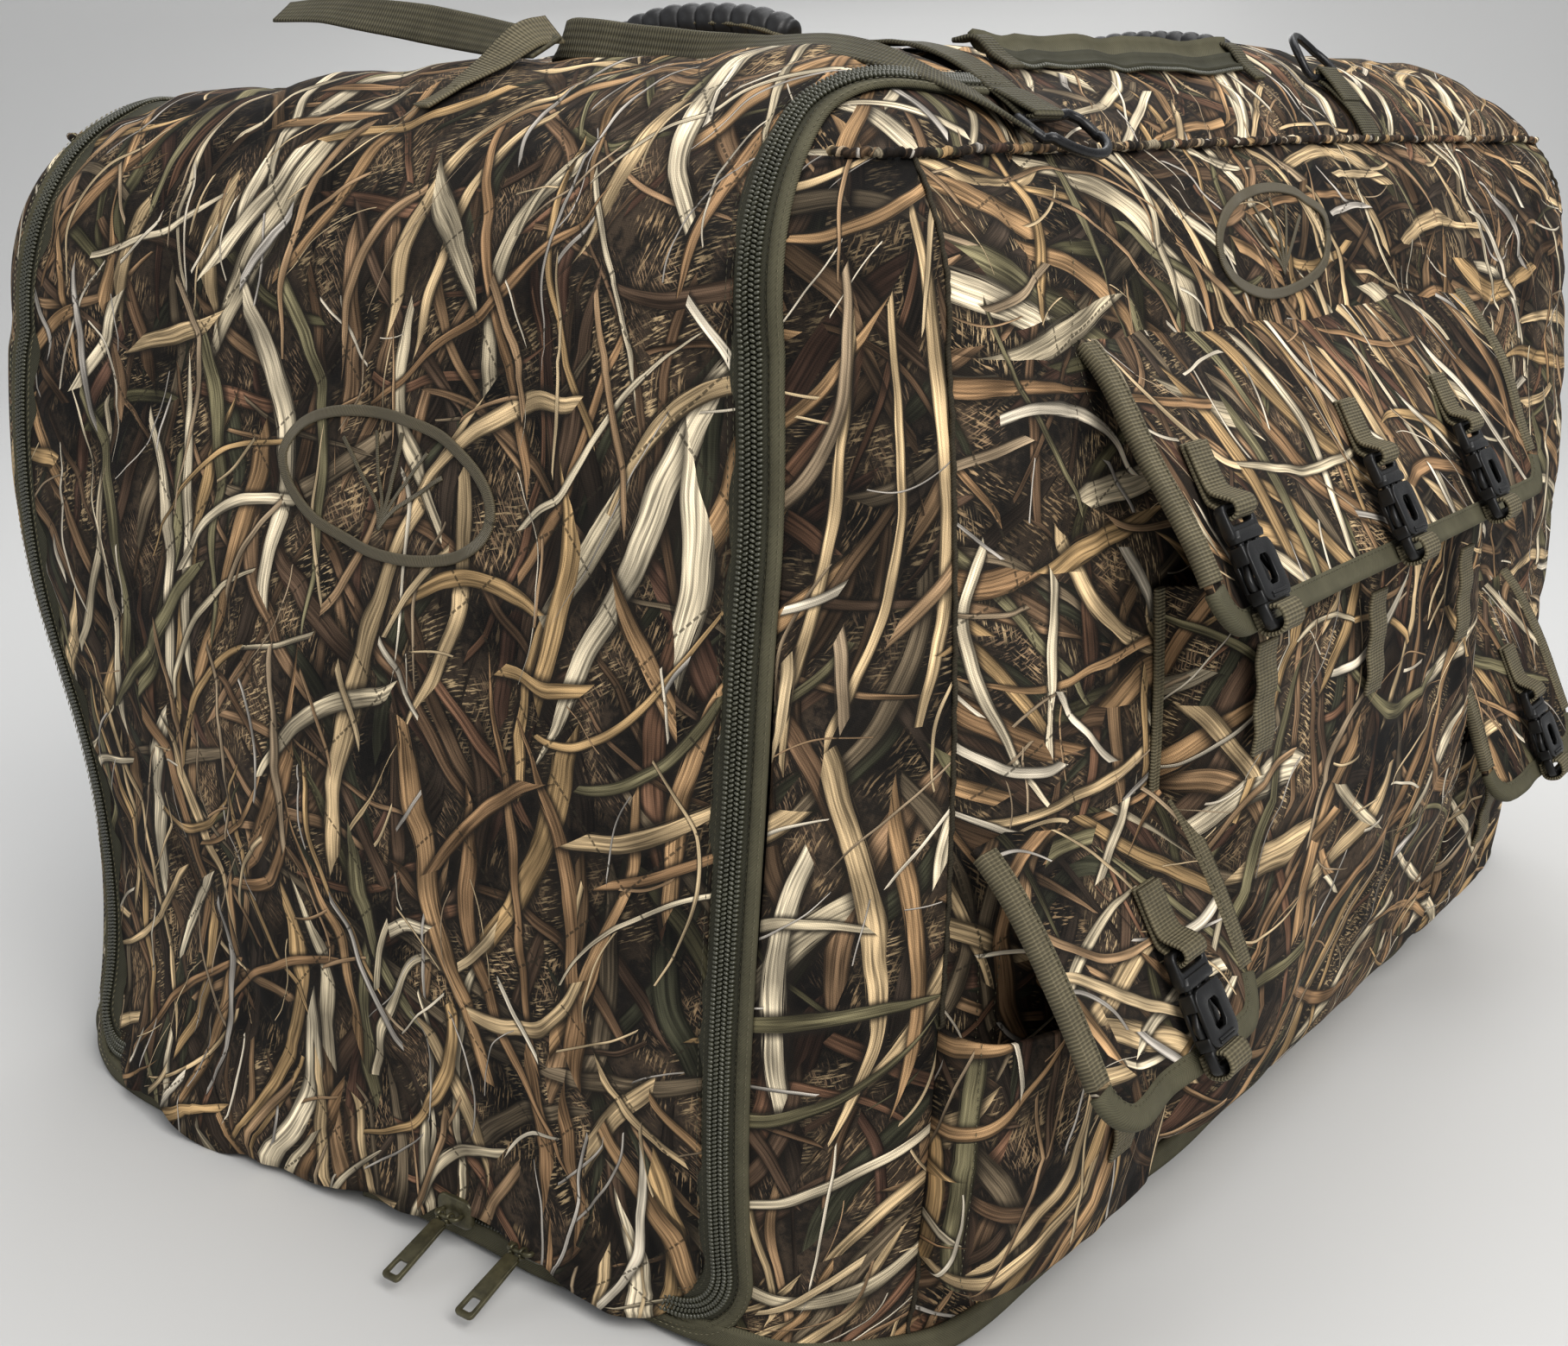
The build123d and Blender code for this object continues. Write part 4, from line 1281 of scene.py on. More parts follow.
# key, node, Y range, heights, depth, width of the front side, seed, turn and place of the print
POCKETS = (
    ("centre", "centre_pouch", (-0.274, 0.084), (0.058, 0.336), 0.036, 0.055, 61, 0.9, (8.1, 0.3)),
    ("front_cargo", "front_cargo_pocket", (-0.415, -0.262), (0.042, 0.172), 0.029, 0.018, 64, 0.3, (9.7, 1.8)),
    ("rear_cargo", "rear_cargo_pocket", (0.088, 0.250), (0.042, 0.172), 0.029, 0.018, 67, 1.3, (11.2, 2.2)),
)
pouches = {spec[0]: pouch_cloth(*spec) for spec in POCKETS}
path = resample(pouches["centre"][8:, 0], 120)
up = outward(path)
done(ribbon("centre_pouch_binding", path + up * 0.0035, up, 0.011, 0.0026, WEBBING), BODY, "webbing")
for key, p in pouches.items():
    for col, tag in ((4, "front"), (-5, "rear")):
        if (key, tag) != ("centre", "front"):
            stitch_row(f"{key}_pouch_stitches_{tag}", p[4:, col] + outward(p[4:, col]) * 0.0008, 0.0038)
    base = resample(p[0] + outward(p[0]) * 0.0006, 90)
    done(rope(f"{key}_pouch_base_seam", base, outward(base), 0.0014, PIPE, k=7), BODY, "thread")


def anchor(k, y, z, lift):
    """Patch of webbing sewn to the cloth where a buckle's loose half would fasten."""
    t = np.linspace(-0.026, 0.024, 24)
    path = side_wall(np.full(24, y), z + t, lift + 0.0022 + 0.0006 * np.sin(t * 300))
    obj = ribbon(f"pouch_anchor_{k}", path, outward(path), 0.0205, 0.0020, WEBBING)
    done(obj, BODY, "webbing", *["pouch_anchor_webbing"][:k == 1])
    for j, dz in enumerate((-0.021, 0.0), 1):
        line = side_wall(np.linspace(y - 0.0085, y + 0.0085, 12), np.full(12, z + dz), lift + 0.0036)
        stitch_row(f"pouch_anchor_{k}_stitches_{j}", line)


ANCHORS = ((-0.244, 0.286, 0.038), (-0.118, 0.286, 0.0405), (0.015, 0.286, 0.0405), (-0.326, 0.118, 0.0310),
           (0.175, 0.118, 0.0310))
for k, spot in enumerate(ANCHORS, 1):
    anchor(k, *spot)


# ---------------------------------------------------------------- flaps
FLAP_R = 0.022                         # radius of a flap's lower corners
FLAPS = {
    "window": dict(y=(-0.325, 0.140), wall=0.310, z=0.443, tilt=30.2, drop=0.128, buckles=(-0.290, -0.118, 0.015)),
    "front_pocket": dict(y=(-0.415, -0.262), wall=0.3255, z=0.250, tilt=29.0, drop=0.118, buckles=(-0.326,)),
    "rear_pocket": dict(y=(0.088, 0.250), wall=0.3305, z=0.250, tilt=26.0, drop=0.116, buckles=(0.175,)),
}


def flap_frame(spec):
    """The flap's plane: a function from (out, y, up) to the world, and its two directions."""
    t = math.radians(spec["tilt"])
    origin = np.array([spec["wall"] + 0.0065, 0, spec["z"]])
    out = np.array([math.cos(t), 0, math.sin(t)])
    up = np.array([-math.sin(t), 0, math.cos(t)])

    def place(x, y, z):
        x, y, z = spread(x, y, z)
        return origin + x[..., None] * out + y[..., None] * np.array([0, 1.0, 0]) + z[..., None] * up
    return place, out


def flap_shape(spec, place, seed):
    """The cloth's 3-D place at a Y and a length down the flap."""
    a, b = spec["y"]
    drop = spec["drop"]

    def at(y, s, off=0.0):
        y, s = spread(y, s)
        w = (y - a) / (b - a)
        q = np.stack([y, s, 0 * y], -1)
        x = -0.0035 - 0.0065 * np.exp(-np.maximum(s + 0.010, 0) / 0.012)
        x = x + 0.0030 * np.sin(PI * np.clip(s / drop, 0, 1))
        x = x + 0.0035 * smooth(s, 0.2 * drop, drop) * np.sin(w * PI * 3 + seed) * smooth(s, 0, drop)
        x = x + 0.0020 * noise3(q, 22.0, seed) * smooth(s, 0.0, 0.04)
        for yb in spec["buckles"]:
            flat = np.exp(-((y - yb) / 0.022) ** 2) * smooth(s, 0.05, 0.085)
            x = x * (1 - flat) - 0.0022 * flat
        x = np.minimum(x, 0.0008 + 0.006 * (1 - np.exp(-((y - spec["buckles"][0]) / 0.02) ** 2)))
        return place(x + off, y, -s)
    return at


def flap_outline(spec, inset):
    """Left edge down, round the corners and up the right edge, as (y, s)."""
    n = 60
    a, b = spec["y"][0] + inset, spec["y"][1] - inset
    drop, r = spec["drop"] - inset, FLAP_R - inset * 0.6
    left = np.stack([np.full(n, a), np.linspace(-0.006, drop - r, n)], -1)
    ang = np.linspace(0, PI / 2, 12)[1:]
    c1 = np.stack([a + r - r * np.cos(ang), drop - r + r * np.sin(ang)], -1)
    low = np.stack([np.linspace(a + r, b - r, 2 * n)[1:-1], np.full(2 * n - 2, drop)], -1)
    c2 = np.stack([b - (c1[::-1, 0] - a), c1[::-1, 1]], -1)
    right = np.stack([np.full(n, b), left[::-1, 1]], -1)
    return left, np.vstack([c1, low, c2]), right


def flap_cloth(key, spec, place, out, seed, turn, shift):
    """The flap with its bindings, hem and stitches; its top stays sewn to the wall."""
    at = flap_shape(spec, place, seed)
    body = f"{key}_flap_body"
    a, b = spec["y"]
    drop, r = spec["drop"], FLAP_R
    s = np.concatenate([np.linspace(-0.010, drop - r, 46), drop - r + r * np.sin(np.linspace(0, PI / 2, 12)[1:])])
    inset = np.where(s > drop - r, r - np.sqrt(np.maximum(r ** 2 - (s - drop + r) ** 2, 0)), 0)
    u = np.linspace(0, 1, 120 if key == "window" else 60)
    p = at((a + inset)[:, None] * (1 - u) + (b - inset)[:, None] * u, s[:, None])
    obj = collect(f"{key}_flap_cloth", p.reshape(-1, 3), grid_faces(*p.shape[:2]), CAMO, cloth_uv(p, turn, shift))
    turn_out(obj, len(obj.data.polygons) // 2, out)
    thicken(obj, 0.0034)
    start, end = (tuple(place(0, 0, z)) for z in (0.009, -0.010))

    def bend(o, slot, *nodes):
        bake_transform(o)
        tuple(start)
        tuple(end)
        if nodes:
            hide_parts(*nodes)

    bend(obj, "camo", f"{key}_flap")
    left, low, right = flap_outline(spec, 0.0035)
    for tag, line in (("left", left), ("right", right)):
        path = at(line[:, 0], line[:, 1], -0.0014)
        o = ribbon(f"{key}_flap_binding_{tag}", path, out, 0.0125, 0.0056, WEBBING)
        bend(o, "webbing", *[f"{key}_flap_binding"][:tag == "left"])
    path = at(low[:, 0], low[:, 1], -0.0014)
    done(ribbon(f"{key}_flap_hem", path, out, 0.0115, 0.0054, EDGE_TAPE), body, "olive_tape")
    line = np.vstack(flap_outline(spec, 0.0075))
    bend(stitch_piece(f"{key}_flap_stitches", at(line[:, 0], line[:, 1], 0.0018), out), "thread")


# Buckle: width, distance from the flap, thickness. Its origin is where the halves meet, z up the flap
BW, BX0, BT = 0.027, 0.0024, 0.009


def buckle_halves(place, out, y, z):
    """Side-release buckle: male half with sprung arms, female socket with an oval window."""
    mid = BX0 + BT / 2

    def stacked(a, b, c):
        return tuple(place(mid + b, y + a, z + c))

    def flat(outer, inner, thick, depth, edge):
        """A plate whose middle lies this far from the flap."""
        return plate(outer, inner, thick, lambda a, b, c: tuple(place(depth + c, y + a, z + b)), PLASTIC, edge)

    def moved(w, h, r, up, k=5):
        return [(a, b + up) for a, b in rounded_rect(w, h, r, k)]

    male_bar = flat(moved(BW, 0.0172, 0.0040, 0.0093), moved(0.0212, 0.0066, 0.0018, 0.0118), 0.0052, mid - 0.0006,
                    0.0011)
    collar = loft([(0.0004, rounded_rect(0.0250, 0.0064, 0.0022)), (0.0030, rounded_rect(0.0262, 0.0074, 0.0026)),
                   (0.0060, rounded_rect(0.0225, 0.0060, 0.0022))], PLASTIC, stacked)
    arms = []
    corners = (-1, -.6), (-.6, -1), (.6, -1), (1, -.6), (1, .6), (.6, 1), (-.6, 1), (-1, .6)
    for s in (-1, 1):
        pts = [(s * 0.0078, 0.0020), (s * 0.0084, -0.0050), (s * 0.0100, -0.0105), (s * 0.0126, -0.0150),
               (s * 0.0118, -0.0190), (s * 0.0084, -0.0205)]
        path = curve([place(mid, y + a, z + b) for a, b in pts], 26)
        arms.append(sweep("arm", path, *frames(path, out), [(w * 0.0019, t * 0.0016) for w, t in corners], PLASTIC))
    narrowing = (0.0015, 1), (-0.012, 0.95), (-0.0185, 0.7)
    tongue = loft([(c, rounded_rect(0.0042 * k, 0.0030, 0.0010)) for c, k in narrowing], PLASTIC, stacked, 0.0004)
    male = join("male", [male_bar, collar] + arms + [tongue])

    outline = rounded_rect(BW - 0.0012, 0.0262, 0.0050, 6)
    shell = [(a * (1.0 + 0.04 * math.cos(b * 260)), b - 0.0135) for a, b in outline]

    def oval(w, h):
        turns = [math.atan2(b + 0.0135, a) for a, b in shell]
        return [(w * math.cos(t), -0.0135 + h * math.sin(t)) for t in turns]

    lid = flat(shell, oval(0.0060, 0.0078), 0.0021, BX0 + BT - 0.00105, 0.0008)
    back = flat(shell, oval(0.0045, 0.0062), 0.0020, BX0 + 0.0010, 0.0008)
    walls = []
    for s in (-1, 1):
        ring = [(s * 0.0121 + a, b) for a, b in rounded_rect(0.0024, BT - 0.0022, 0.0009)]
        for z0, z1 in ((-0.0008, -0.0088), (-0.0205, -0.0262)):
            walls.append(loft([(c, ring) for c in (z0, (z0 + z1) / 2, z1)], PLASTIC, stacked))
    tail_outer = [(a * (0.94 + 4 * (b + 0.007)), b - 0.0312) for a, b in rounded_rect(BW, 0.0135, 0.0040)]
    tail = flat(tail_outer, moved(0.0210, 0.0058, 0.0018, -0.0308), 0.0050, mid, 0.0012)
    ribs = [loft([(c, rounded_rect(0.014, 0.0010, 0.0004)) for c in (zc - 0.0006, zc + 0.0006)], PLASTIC,
                 lambda a, b, c: tuple(place(BX0 + BT + b + 0.0002, y + a, z + c)), 0.0003)
            for zc in (-0.0235, -0.0250)]
    return male, join("female", [lid, back] + walls + [tail] + ribs)


def strap_loop(name, place, y, z, points):
    """Webbing through a buckle's bar: points are (out of the flap, up it)."""
    path = curve([place(x, y, z + b) for x, b in points], 70)
    across = np.broadcast_to(np.array([0, 1.0, 0]), path.shape)
    up = unit(np.cross(across, unit(np.gradient(path, axis=0))))
    return sweep(name, path, across, up, band_section(0.0205, 0.0019), WEBBING)


FLAP_STRAP = [(0.0014, 0.048), (0.0014, 0.030), (0.0018, 0.0215), (0.0042, 0.0178), (0.0046, 0.0130), (0.0078, 0.0112),
              (0.0122, 0.0128), (0.0126, 0.0172), (0.0090, 0.0205), (0.0046, 0.0245), (0.0035, 0.031), (0.0034, 0.047)]
SOCKET_STRAP = [(0.0008, -0.0285), (0.0008, -0.0355), (0.0030, -0.0385), (0.0085, -0.0395), (0.0124, -0.0370),
                (0.0132, -0.0325), (0.0118, -0.0292), (0.0070, -0.0285), (0.0034, -0.0300)]
for i, (key, spec) in enumerate(FLAPS.items()):
    place, out = flap_frame(spec)
    flap_cloth(key, spec, place, out, 71 + 5 * i, (0.5, 1.1, 0.2)[i], (12.9 + 2 * i, 1.4))
    body = f"{key}_flap_body"
    males = []
    for k, y in enumerate(spec["buckles"], 1):
        seat = -spec["drop"] + 0.034
        tag = f"{key}_{k}" if len(spec["buckles"]) > 1 else key
        female_body = f"window_female_{k}" if key == "window" else f"{key}_female"
        male, female = buckle_halves(place, out, y, seat)
        males.append(male)
        female.name = f"{tag}_buckle_socket"
        done(female, female_body, "buckle_plastic", f"{tag}_buckle_female")
        top = strap_loop(f"{tag}_flap_strap", place, y, seat, FLAP_STRAP)
        done(top, body, "webbing", *[f"{key}_flap_straps"][:k == 1])
        for j, dz in enumerate((0.0445, 0.0300), 1):
            line = place(0.0046, np.linspace(y - 0.008, y + 0.008, 10), seat + dz)
            stitch_row(f"{tag}_strap_stitches_{j}", line, body=body, nrm=out)
        low = strap_loop(f"{tag}_socket_strap", place, y, seat, SOCKET_STRAP)
        done(low, female_body, "webbing", f"{tag}_buckle_loop")
    male = join("males", males) if len(males) > 1 else males[0]
    male.name = f"{key}_buckle_prongs"
    done(male, body, "buckle_plastic", f"{key}_buckle_males")


# ---------------------------------------------------------------- things that lie on the cloth
def lander(*objs):
    """A function that drops points onto the outer face of the given pieces."""
    trees = [BVHTree.FromPolygons([v.co[:] for v in o.data.vertices], [tuple(f.vertices) for f in o.data.polygons])
             for o in objs]

    def land(p, off=0.0):
        p = np.array(p, float)
        n = outward(p)
        for i in np.ndindex(p.shape[:-1]):
            hits = [t.ray_cast(tuple(p[i] + n[i] * 0.06), tuple(-n[i]), 0.13) for t in trees]
            hits = [h for h in hits if h[0] is not None]
            if hits:
                p[i] = np.array(min(hits, key=lambda h: h[3])[0])
        return p + n * np.asarray(off)[..., None] if np.ndim(off) else p + n * off
    return land


on_door = lander(door)
on_near = lander(near_side, surrounds[0])
on_top = lander(*roof, door)


REEDS = (-0.46, 0.50, 0.0020), (-0.20, 0.72, 0.0016), (0.06, 0.80, 0.0022), (0.30, 0.62, 0.0016), (0.50, 0.36, 0.0020)


def emblem(name, body, place, a, b, tilt, node):
    """Satin-stitched oval with a fan of reed stems inside it."""
    t = np.linspace(0, TAU, 141)[:-1]
    c, s = math.cos(tilt), math.sin(tilt)

    def spot(u, v, off):
        return place(u * c - v * s, u * s + v * c, off)

    ring = spot(a * np.cos(t), b * np.sin(t), 0.0006)
    n = outward(ring)
    tan = unit(np.roll(ring, -1, 0) - np.roll(ring, 1, 0))
    oval = sweep("oval", ring, unit(np.cross(tan, n)), n, band_section(0.0052, 0.0016), SATIN, closed=True)
    parts = [oval]
    for lean, tall, width in REEDS:
        w = np.linspace(0, 1, 20)
        line = spot(a * (0.02 + lean * w ** 1.4), b * (-0.66 + (tall + 0.66) * w), 0.0004)
        parts.append(ribbon("reed", line, outward(line), width, 0.0008, SATIN))
    done(join(name, parts), body, "thread", node)


emblem("front_satin_oval", DOOR,
       lambda x, z, off: on_door(on_front(0.043 + x, z + 0.374), off), 0.068, 0.0300, -0.10, "front_emblem")
emblem("side_satin_oval", BODY,
       lambda y, z, off: on_near(side_wall(-0.120 + y, 0.478 + z), off), 0.068, 0.0245, 0.05, "side_emblem")


def side_stitches(name, points):
    """A sewn line across the near side, through (y, z) points."""
    line = curve([side_wall(np.array([y]), np.array([z]))[0] for y, z in points], 60)
    stitch_row(name, on_near(settle(line), 0.0006), 0.0040)


side_stitches("side_curved_seam", [(-0.317, 0.512), (-0.330, 0.452), (-0.322, 0.42), (-0.294, 0.399)])
side_stitches("side_low_seam_1", [(-0.398, 0.012), (-0.398, 0.110), (-0.398, 0.209)])
side_stitches("side_low_seam_2", [(-0.388, 0.012), (-0.388, 0.110), (-0.388, 0.205)])


# ---------------------------------------------------------------- rings and their webbing
def shoulder_point(y, rise, side, off=0.0):
    """On the roof's edge: rise is the length up from the welt."""
    y, rise = spread(y, rise)
    t = SHOULDER + R_TOP * math.asin((WELT_Z - SHOULDER) / R_TOP) + rise
    return on_top(on_side(y, t, side), off)


def d_ring(k, side, y, from_roof, reach):
    """A wire D-ring, and the webbing that holds it: from the roof, or from the wall below."""
    bar_rise, away = (0.018, -1) if from_roof else (0.046, 1)
    near = k == 1                      # the ring nearest to the eye is larger and leans over
    semi_y, semi_d, skew = (0.0235, 0.0175, 0.010) if near else (0.0195, 0.0165, 0.0)
    ang = np.linspace(0, TAU, 61)[:-1]
    yy = y + semi_y * np.cos(ang) + skew * (1 - np.sin(ang)) * 0.5
    flat = 0.55                        # where the straight bar cuts the oval
    d = np.where(np.sin(ang) > flat, flat, np.sin(ang))
    rise = bar_rise + away * (flat - d) * semi_d
    lift = 0.0045 + 0.006 * (flat - d) / 1.55 * (1 if from_roof else 1.6)
    base = shoulder_point(yy, rise, side, lift)
    path = curve(list(base) + [base[0], base[1]], 122)[:-3]
    wire = rope(f"d_ring_wire_{k}", path, outward(path), 0.0023, WIRE, closed=True, k=12)
    done(wire, f"d_ring_body_{k}", "black_wire", f"d_ring_{k}")

    rise = bar_rise - away * (0.0015 + (reach - 0.0015) * np.linspace(0, 1, 46))
    under = shoulder_point(np.full(46, y), rise, side, 0.0030)
    turn = [shoulder_point(y, bar_rise + away * 0.0030, side, h) for h in (0.0085, 0.0040, 0.0018)]
    over = shoulder_point(np.full(10, y), bar_rise - away * np.linspace(0, 0.020, 10), side,
                          0.0075 - 0.0035 * np.linspace(0, 1, 10))
    path = np.vstack([under[::-1], turn[::-1], over])
    path = resample(curve(list(path[::3]) + [path[-1]], 160), 120)
    across = np.broadcast_to(np.array([0, 1.0, 0]), path.shape)
    up = unit(np.cross(unit(np.gradient(path, axis=0)), across))
    keeper = sweep(f"ring_keeper_{k}", path, across, up, band_section(0.0255, 0.0020), OLIVE_WEBBING)
    done(keeper, BODY, "webbing", *["d_ring_webbing"][:near])
    for j, dist in enumerate((0.024, 0.030), 1):
        seam = shoulder_point(np.linspace(y - 0.010, y + 0.010, 12), bar_rise - away * dist, side, 0.0048)
        stitch_row(f"ring_keeper_stitches_{k}_{j}", seam)


d_ring(1, 1, -0.295, True, 0.150)
d_ring(2, 1, 0.062, False, 0.044)
d_ring(3, -1, -0.295, True, 0.120)
d_ring(4, -1, 0.062, False, 0.044)


# ---------------------------------------------------------------- straps left tied over the door
def strap_on_edge(name, points, nodes=(), mat=OLIVE_WEBBING):
    """Webbing that twists: each point is (x, y, height over the roof, lean of its face from flat)."""
    width = 0.0200
    p = np.array([(x, y, on_roof(x, y)[2] + h) for x, y, h, _ in points])
    count = 30 * (len(points) - 1)
    path = curve(list(p), count)
    lean = np.interp(np.linspace(0, 1, count), np.linspace(0, 1, len(points)), [a for *_, a in points])
    tan = unit(np.gradient(path, axis=0))
    side = unit(np.cross(np.array([0, 0, 1.0]), tan))
    flat_up = unit(np.cross(tan, side))
    c, s = np.cos(np.radians(lean))[:, None], np.sin(np.radians(lean))[:, None]
    across, up = side * c - flat_up * s, flat_up * c + side * s
    obj = sweep(name, path, across, up, band_section(width, 0.0019), mat)
    round(float(run_of(path)[-1]), 3)
    done(obj, BODY, "webbing", *nodes)


strap_on_edge("tie_strap_web", [
    (0.268, -0.312, 0.004, 10), (0.250, -0.332, 0.003, 14), (0.224, -0.350, 0.002, 18), (0.190, -0.350, 0.002, 22),
    (0.150, -0.340, 0.002, 26), (0.112, -0.332, 0.0025, 32), (0.075, -0.330, 0.0065, 58), (0.045, -0.330, 0.0100, 74),
    (0.026, -0.328, 0.0105, 70), (0.020, -0.322, 0.0075, 74), (0.034, -0.316, 0.0045, 60), (0.062, -0.312, 0.0025, 40),
    (0.088, -0.308, 0.0025, 20)], ("tie_straps",))
strap_on_edge("tie_strap_sewn_end", [
    (0.000, -0.398, 0.0020, 0), (0.006, -0.384, 0.0020, 0), (0.014, -0.366, 0.006, -14), (0.020, -0.348, 0.014, -30),
    (0.024, -0.334, 0.015, -40)], mat=WEBBING)
strap_on_edge("tie_strap_tail", [
    (0.030, -0.346, 0.008, 30), (0.000, -0.340, 0.0105, 50), (-0.035, -0.336, 0.016, 60), (-0.070, -0.336, 0.024, 66),
    (-0.100, -0.340, 0.031, 56), (-0.124, -0.344, 0.036, 40), (-0.150, -0.350, 0.038, 30)])
sewn = on_roof(np.linspace(-0.010, 0.012, 12), np.linspace(-0.394, -0.386, 12))
stitch_row("tie_strap_sewn_stitches", on_top(sewn, 0.0040))


# ---------------------------------------------------------------- roof's access zip under its guard
def access_zip():
    """Guard rolled over a short zip on the roof's near edge, squared off at both ends."""
    y0, y1 = -0.258, -0.030
    y = np.linspace(y0, y1, 90)
    x = 0.2105 + 0.018 * (y - y0) / (y1 - y0) + 0.0012 * np.sin(y * 40)
    base = on_top(on_roof(x, y), 0.0)
    n = outward(base)
    side = unit(np.cross(np.gradient(base, axis=0), n))
    if side[0, 0] < 0:
        side = -side
    for tag, shift, lift, width, mat, tilt in (("guard", -0.004, 0.0052, 0.013, EDGE_TAPE, 0.5),
                                               ("guard_fold", 0.006, 0.0022, 0.010, TAPE, 0.25)):
        path = base + side * shift + n * lift
        across = unit(side * math.cos(tilt) - n * math.sin(tilt))
        up = unit(n * math.cos(tilt) + side * math.sin(tilt))
        obj = sweep(f"access_zip_{tag}", path, across, up, band_section(width, 0.0036, 0.0020), mat)
        done(obj, BODY, "olive_tape", *["top_access_zipper"][:tag == "guard"])
    pos, up, tan = spaced(base + side * 0.0125 + n * 0.0018, n, TOOTH_PITCH)
    done(repeat("access_zip_coil", pos, unit(np.cross(tan, up)), tan, up, TOOTH, COIL), BODY, "zipper_coil")
    for tag, k in (("front", 0), ("rear", -1)):
        across_zip = np.linspace(-0.012, 0.018, 24)
        foot = on_top(on_roof(x[k] + across_zip, np.full(24, y[k])), 0.0)
        foot = foot + outward(foot) * (0.0030 + 0.0050 * np.exp(-((across_zip + 0.002) / 0.008) ** 2))[:, None]
        done(ribbon(f"access_zip_end_{tag}", foot, outward(foot), 0.0130, 0.0022, OLIVE_WEBBING), BODY, "webbing")


access_zip()


# ---------------------------------------------------------------- carrying handles
GRIP_TURNS = 10
HANDLE_SEAMS = (-.008, -.008), (.008, .008), (-.008, .008), (.008, -.008)      # Y at a tab's inner and outer end


def handle(tag, y, lower, stretch=1.0):
    """Rubber grip moulded in a spiral on a webbing strap sewn to the roof at both ends."""
    body = f"{tag}_handle"
    crown = H + 0.020 - lower
    ground = [float(on_roof(s * 0.086, y)[2]) for s in (-1, 1)]
    half = 0.057 * stretch

    def line(x):
        u = np.clip(np.abs(x) / 0.072, 0, 1)
        foot = np.where(x < 0, ground[0], ground[1]) + 0.0035
        return crown + (foot - crown) * u ** 2.6

    x = np.linspace(-half, half, 260)
    path = np.stack([x, np.full_like(x, y) + 0.0015 * np.sin(x * 40), line(x)], -1)
    across, up = frames(path, (0, 0, 1))
    k = 44
    ang = np.linspace(0, TAU, k + 1)[:-1]
    w = np.abs(x) / half
    taper = np.sqrt(np.clip(1 - np.clip((w - 0.93) / 0.07, 0, 1) ** 2 * 0.75, 0, 1)) * (1 - 0.06 * w ** 2)
    wave = (x[:, None] / (2 * half) * GRIP_TURNS + ang[None] / TAU) % 1.0
    ridge = np.clip(np.sin(PI * wave), 0, 1) ** 0.55
    r = (0.0090 + 0.0021 * ridge) * taper[:, None]
    ring = path[:, None] + r[..., None] * (np.cos(ang)[None, :, None] * across[:, None] * 1.02
                                          + np.sin(ang)[None, :, None] * up[:, None])
    faces = [tuple(f) for f in grid_faces(len(x), k, wrap=True)] + end_caps(len(x), k)
    grip = collect(f"{tag}_handle_spiral_grip", ring.reshape(-1, 3), faces, RUBBER)
    done(grip, body, "grip_wrap", f"{tag}_handle_grip")
    x = np.linspace(-0.0735, 0.0735, 90)
    path = np.stack([x, np.full_like(x, y), line(x)], -1)
    strap = ribbon(f"{tag}_handle_strap", path, (0, 0, 1), 0.0205, 0.0022, WEBBING)
    done(strap, body, "webbing", f"{tag}_handle_webbing")
    for s, end in ((-1, "left"), (1, "right")):
        x = s * np.linspace(0.0715, 0.100, 20)
        foot = on_top(on_roof(x, np.full(20, y)), 0.0026)
        tab = ribbon(f"{tag}_handle_tab_{end}", foot, outward(foot), 0.0215, 0.0024, WEBBING)
        done(tab, BODY, "webbing", *["handle_anchor_webbing"][:(tag, s) == ("front", 1)])
        for j, (ya, yb) in enumerate(HANDLE_SEAMS, 1):
            seam = on_top(on_roof(s * np.linspace(0.076, 0.096, 12), y + np.linspace(ya, yb, 12)), 0.0042)
            stitch_row(f"{tag}_handle_stitches_{end}_{j}", seam)


handle("front", -0.190, 0.0165)
handle("rear", 0.350, 0.0080, 1.06)


# ---------------------------------------------------------------- carried-over CAD pieces
for node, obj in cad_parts.items():
    obj.data.materials.clear()
    obj.data.materials.append(CRATE if node.startswith("crate_") else PLASTIC)


# ---------------------------------------------------------------- floor, light and camera
YAW, PITCH, ROLL = (math.radians(a) for a in (36.025, 16.053, 1.043))       # the camera's


def stage_floor(mat):
    """A floor that curves up into a wall behind the object."""
    span, flat, r, top = 6.0, 2.4, 1.2, 4.0
    line = [(-span, 0.0)] + [(flat + r * math.sin(a), r - r * math.cos(a)) for a in np.linspace(0, PI / 2, 14)]
    line += [(flat + r, top)]
    yaw = math.radians(36.0)
    away = np.array([-math.sin(yaw), math.cos(yaw)])
    aside = np.array([away[1], -away[0]])
    verts = []
    for d, z in line:
        for s in (-span, span):
            xy = away * d + aside * s
            verts.append((xy[0], xy[1], z - 0.0004))
    collect("studio_floor", verts, grid_faces(len(line), 2), mat)


g = Graph("floor_paper")
grain = g.noise(g.place(), 30.0, 2.0, 0.5, dims="3D")
stage_floor(g.finish((0.60, 0.60, 0.59), g.lerp(grain, 0.3, 0.7, 0.85, 0.95), None, 0.1))


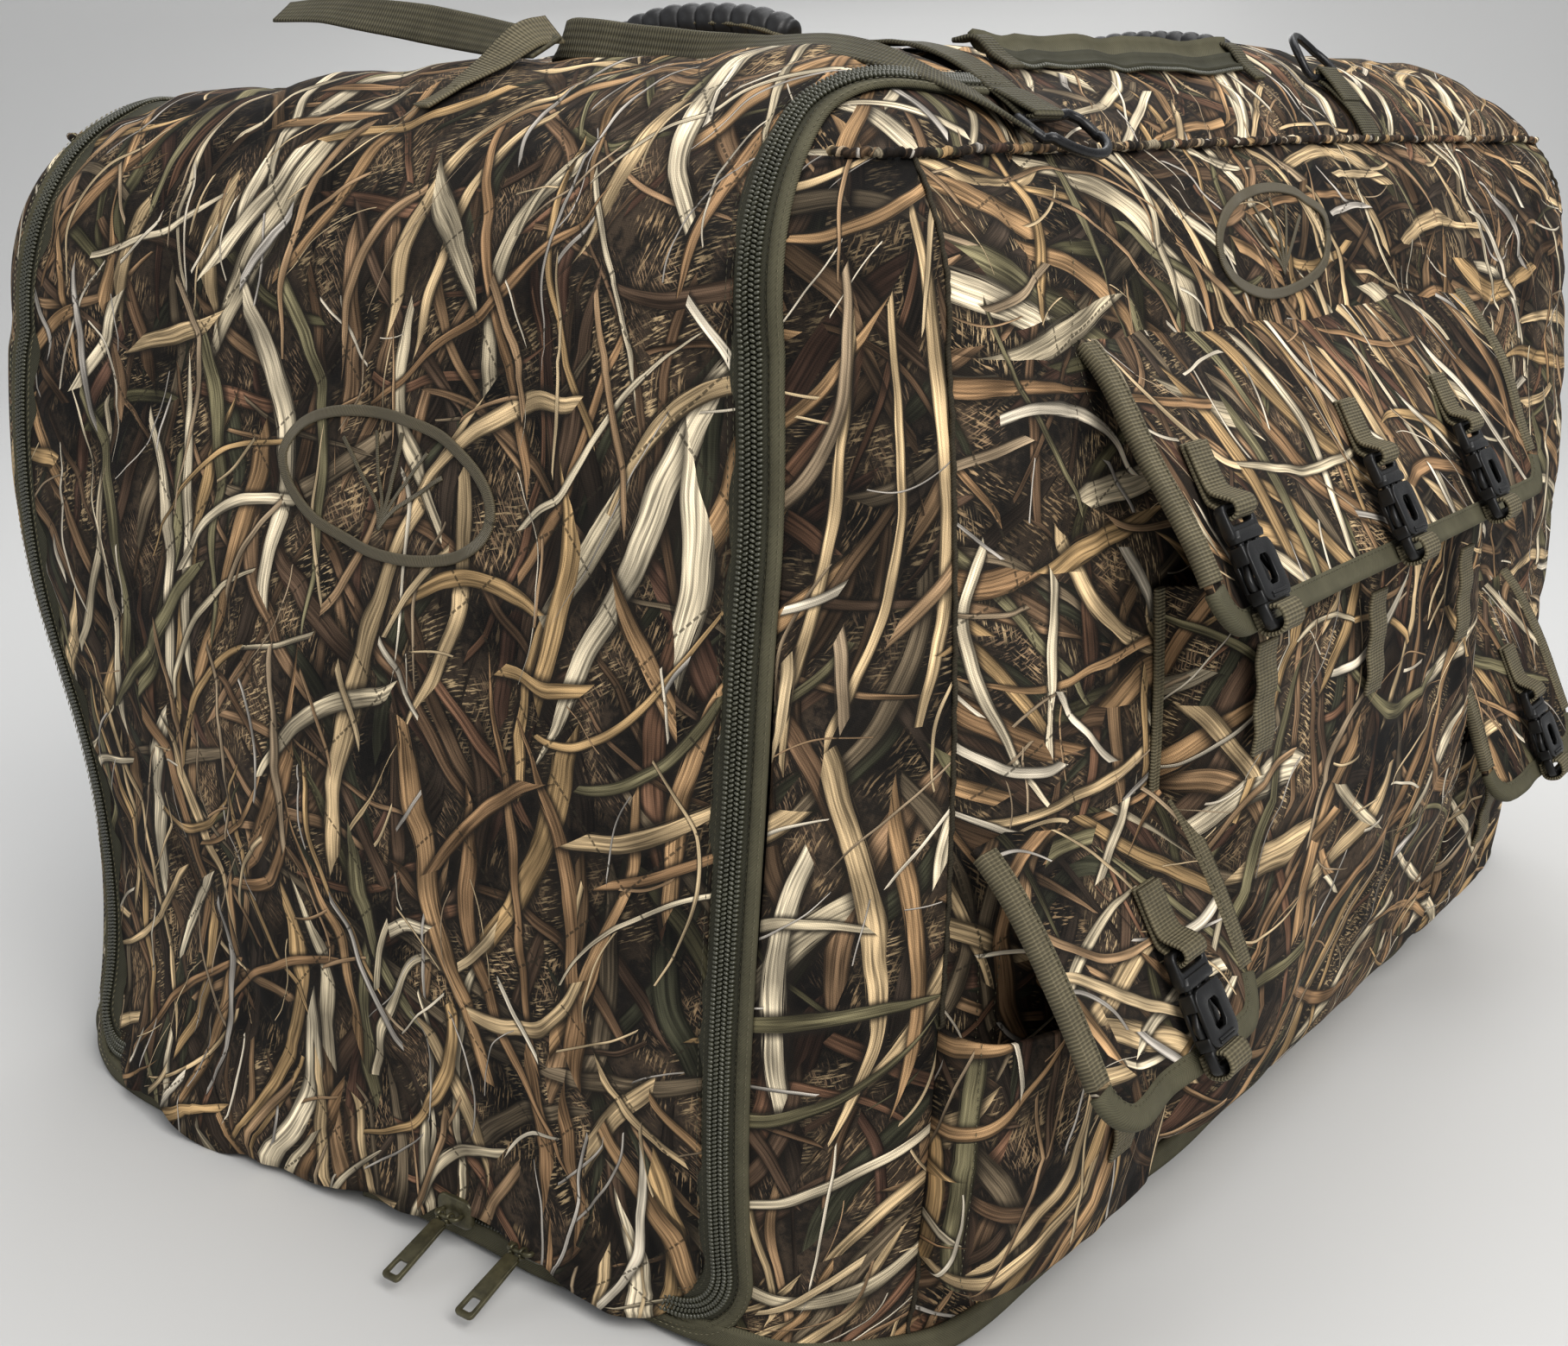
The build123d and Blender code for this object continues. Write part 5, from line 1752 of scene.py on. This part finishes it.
def area_light(name, place, target, size, power, tint=(1, 1, 1)):
    """A rectangular light that faces its target."""
    data = bpy.data.lights.new(name, "AREA")
    data.shape = "RECTANGLE"
    data.size, data.size_y = size
    data.energy = power
    data.color = tint
    obj = bpy.data.objects.new(name, data)
    bpy.context.scene.collection.objects.link(obj)
    obj.location = place
    obj.rotation_euler = (Vector(target) - Vector(place)).to_track_quat("-Z", "Y").to_euler()


area_light("key", (2.5, -1.5, 2.7), (0, -0.1, 0.25), (2.2, 2.0), 116, (1.0, 0.975, 0.94))
area_light("front_fill", (-1.7, -2.4, 2.1), (0, -0.2, 0.4), (2.4, 1.8), 11, (0.96, 0.98, 1.0))
area_light("top", (0.2, 0.6, 3.0), (0, 0, 0.4), (2.6, 2.6), 50)
area_light("back", (-1.8, 2.4, 1.8), (0, 0.2, 0.3), (2.0, 2.0), 26)
world = bpy.data.worlds.new("studio")
bpy.context.scene.world = world
world.use_nodes = True
world.node_tree.nodes["Background"].inputs[0].default_value = (0.93, 0.95, 1.0, 1)
world.node_tree.nodes["Background"].inputs[1].default_value = 0.42


def camera():
    """A fixed camera, to the right of the door and a little above the roof."""
    data = bpy.data.cameras.new("camera")
    data.sensor_width = 36.0
    data.lens = 44.56
    data.clip_start = 0.05
    obj = bpy.data.objects.new("camera", data)
    bpy.context.scene.collection.objects.link(obj)
    forward = np.array([-math.sin(YAW) * math.cos(PITCH), math.cos(YAW) * math.cos(PITCH), -math.sin(PITCH)])
    right = np.array([math.cos(YAW), math.sin(YAW), 0.0])
    up = np.cross(right, forward)
    r2 = math.cos(ROLL) * right + math.sin(ROLL) * up
    u2 = -math.sin(ROLL) * right + math.cos(ROLL) * up
    m = Matrix.Identity(4)
    for i in range(3):
        m[i][0], m[i][1], m[i][2] = r2[i], u2[i], -forward[i]
    m[0][3], m[1][3], m[2][3] = 0.6809, -1.0443, 0.5329
    obj.matrix_world = m
    bpy.context.scene.camera = obj


camera()
bpy.context.scene.view_settings.view_transform = "Standard"
